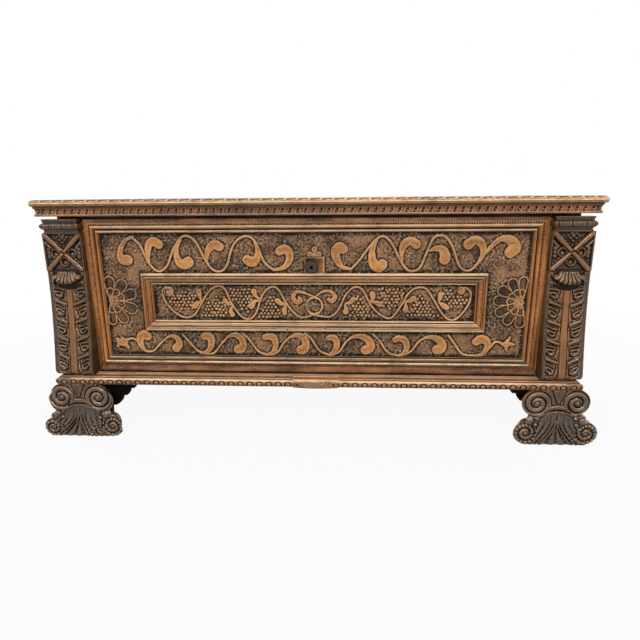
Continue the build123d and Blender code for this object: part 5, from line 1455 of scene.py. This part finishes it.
def saw_foot(side, c, out):
    """A board sawn to the foot's outline, undercut on its inner side.

    The points of the grid next to the outline are drawn onto it.
    """
    d = outside_foot(side, c.x, c.z)
    gz, gx = np.gradient(d, c.zs, c.xs)
    size = np.maximum(np.hypot(gx, gz), 1e-6)
    reach = (c.xs[1] - c.xs[0]) * 0.75
    near = np.abs(d) < reach
    x = np.where(near, c.x - d * gx / size, c.x)
    z = np.clip(np.where(near, c.z - d * gz / size, c.z), 0.0, CHEST_FOOT)
    keep = d < reach
    index = np.arange(x.size).reshape(x.shape)
    r, k = np.nonzero(keep[:-1, :-1] & keep[1:, :-1] & keep[:-1, 1:] & keep[1:, 1:])
    face = np.stack([index[r, k], index[r, k + 1], index[r + 1, k + 1], index[r + 1, k]], -1)
    used, face = np.unique(face, return_inverse=True)
    n, face = len(used), face.reshape(-1, 4)
    px, pz, ph = x.ravel()[used], z.ravel()[used], c.height.ravel()[used]
    behind = px + FOOT_UNDERCUT * np.clip(-px / 60.0, 0, 1)
    verts = np.vstack([np.stack([out * (FOOT_MIDDLE + px), FOOT_FRONT - ph, pz], -1),
                       np.stack([out * (FOOT_MIDDLE + behind), np.full(n, FOOT_BACK), pz], -1)])
    edges = np.concatenate([face[:, [0, 1]], face[:, [1, 2]], face[:, [2, 3]], face[:, [3, 0]]])
    _, first, count = np.unique(edges.min(1) * n + edges.max(1), return_index=True, return_counts=True)
    rim = edges[first[count == 1]]
    faces = face.tolist() + (face[:, ::-1] + n).tolist()
    faces += np.stack([rim[:, 1], rim[:, 0], rim[:, 0] + n, rim[:, 1] + n], -1).tolist()
    values = {k: np.tile(v.ravel()[used], 2) for k, v in c.values.items()}
    finish_piece("foot_front_" + side, verts, faces, "foot wood", values)


class CASSONE_OT_feet(bpy.types.Operator):
    """Saws and carves the two scroll feet in front"""
    bl_idname = "cassone.feet"
    bl_label = "Scroll feet"

    def execute(self, context):
        for side, out, sweep in (("left", -1, 1.0), ("right", 1, 0.15)):
            saw_foot(side, carve_foot(side, sweep), out)
        return {"FINISHED"}


# ---------------------------------------------------------------- stage

class CASSONE_OT_stage(bpy.types.Operator):
    """Sets the floor, the soft studio lights and the camera"""
    bl_idname = "cassone.stage"
    bl_label = "Floor, lights and camera"

    def execute(self, context):
        scene = context.scene
        scene.view_settings.view_transform = "Standard"
        mesh = bpy.data.meshes.new("floor")
        mesh.from_pydata([(-9, -9, 0), (9, -9, 0), (9, 9, 0), (-9, 9, 0)], [], [(0, 1, 2, 3)])
        floor = bpy.data.objects.new("floor", mesh)
        scene.collection.objects.link(floor)
        self.paint_floor(mesh)
        self.white_world(scene)
        for name, side in (("left", -1), ("right", 1)):
            self.lamp(name, (side * 2.1, -2.0, 1.9), (0, -0.25, 0.42), (0.3, 0.3), 14, (1.0, 0.98, 0.95))
        self.lamp("front", (0.0, -2.65, 1.5), (0, -0.25, 0.4), (2.4, 0.2), 42, (1.0, 0.98, 0.95))
        self.lamp("top", (0.0, -0.9, 2.6), (0, -0.25, 0.3), (2.6, 0.25), 24, (1.0, 0.98, 0.96))
        self.lamp("back", (0.4, 2.2, 2.2), (0, 0.2, 0.5), (2.0, 0.8), 18)
        self.camera(scene)
        return {"FINISHED"}

    def paint_floor(self, mesh):
        """Grey under the lamps, and seen as nearly white near the chest and white further away."""
        paint = bpy.data.materials.new("pale floor")
        paint.use_nodes = True
        paint.node_tree.nodes.clear()
        g = Graph(paint.node_tree)
        place = g.node("TexCoord").outputs["Object"]
        diffuse = g.node("BsdfDiffuse")
        grain = g.noise(place, 6.0)
        g.put(diffuse.inputs["Color"], g.mix(grain, (0.50, 0.50, 0.50, 1), (0.54, 0.54, 0.54, 1)))
        reach = g.node("VectorMath", operation="LENGTH")
        g.put(reach.inputs[0], place)
        white = g.span(reach.outputs["Value"], 0.7, 2.6, 0.93, 1.0)
        floor = g.blend(g.math("MULTIPLY", g.watched(), white), diffuse, g.node("Emission"))
        g.put(g.node("OutputMaterial").inputs["Surface"], floor)
        mesh.materials.append(paint)

    def white_world(self, scene):
        """White where it is seen, and a faint cool light elsewhere."""
        scene.world = bpy.data.worlds.new("studio")
        scene.world.use_nodes = True
        tree = scene.world.node_tree
        tree.nodes.clear()
        g = Graph(tree)
        air, white = g.node("Background"), g.node("Background")
        air.inputs["Color"].default_value = (0.95, 0.97, 1.0, 1)
        air.inputs["Strength"].default_value = 0.1
        white.inputs["Color"].default_value = (1, 1, 1, 1)
        g.put(g.node("OutputWorld").inputs["Surface"], g.blend(g.watched(), air, white))

    def lamp(self, name, place, aim, size, watts, tint=(1, 1, 1)):
        """A soft lamp that looks at a point."""
        data = bpy.data.lights.new(name, "AREA")
        data.shape, data.size, data.size_y = "RECTANGLE", size[0], size[1]
        data.energy, data.color = watts, tint
        o = bpy.data.objects.new(name, data)
        bpy.context.scene.collection.objects.link(o)
        o.location = place
        o.rotation_euler = (Vector(aim) - Vector(place)).to_track_quat("-Z", "Y").to_euler()

    def camera(self, scene):
        """A camera in front, a little right of the middle, looking down on the chest."""
        place = Vector((0.10891, -1.68495, 0.75800))
        tilt, turn, roll = (math.radians(v) for v in (14.247, -3.2940, -0.4970))
        ahead = Vector((math.sin(turn) * math.cos(tilt), math.cos(turn) * math.cos(tilt), -math.sin(tilt)))
        right = Vector((math.cos(turn), -math.sin(turn), 0))
        up = right.cross(ahead)
        x_axis = math.cos(roll) * right + math.sin(roll) * up
        y_axis = math.cos(roll) * up - math.sin(roll) * right
        data = bpy.data.cameras.new("camera")
        data.sensor_width, data.lens = 36.0, 27.56
        data.clip_end = 60
        camera = bpy.data.objects.new("camera", data)
        scene.collection.objects.link(camera)
        rotation = Matrix((x_axis, y_axis, -ahead)).transposed().to_4x4()
        camera.matrix_world = Matrix.Translation(place) @ rotation
        scene.camera = camera


class CASSONE_PT_panel(bpy.types.Panel):
    """Lists the steps that make the chest"""
    bl_label = "Carved cassone"
    bl_idname = "CASSONE_PT_panel"
    bl_space_type = "VIEW_3D"
    bl_region_type = "UI"
    bl_category = "Cassone"

    def draw(self, context):
        sizes, colours = settings(context)
        for step in STEPS:
            self.layout.operator(step.bl_idname)
        for source in (sizes, colours):
            for key in source.__annotations__:
                self.layout.prop(source, key)


STEPS = (CASSONE_OT_finishes, CASSONE_OT_front, CASSONE_OT_frames, CASSONE_OT_plinth, CASSONE_OT_lid,
         CASSONE_OT_pilasters, CASSONE_OT_feet, CASSONE_OT_stage)
CLASSES = (CarvingSizes, FinishColours) + STEPS + (CASSONE_PT_panel,)


def register():
    for c in CLASSES:
        bpy.utils.register_class(c)
    bpy.types.Scene.cassone_sizes = PointerProperty(type=CarvingSizes)
    bpy.types.Scene.cassone_colours = PointerProperty(type=FinishColours)


def unregister():
    del bpy.types.Scene.cassone_sizes
    del bpy.types.Scene.cassone_colours
    for c in reversed(CLASSES):
        bpy.utils.unregister_class(c)


def main():
    register()
    bpy.ops.cassone.finishes()
    bpy.ops.cassone.front()
    bpy.ops.cassone.frames()
    bpy.ops.cassone.plinth()
    bpy.ops.cassone.lid()
    bpy.ops.cassone.pilasters()
    bpy.ops.cassone.feet()
    bpy.ops.cassone.stage()


if __name__ == "__main__":
    main()
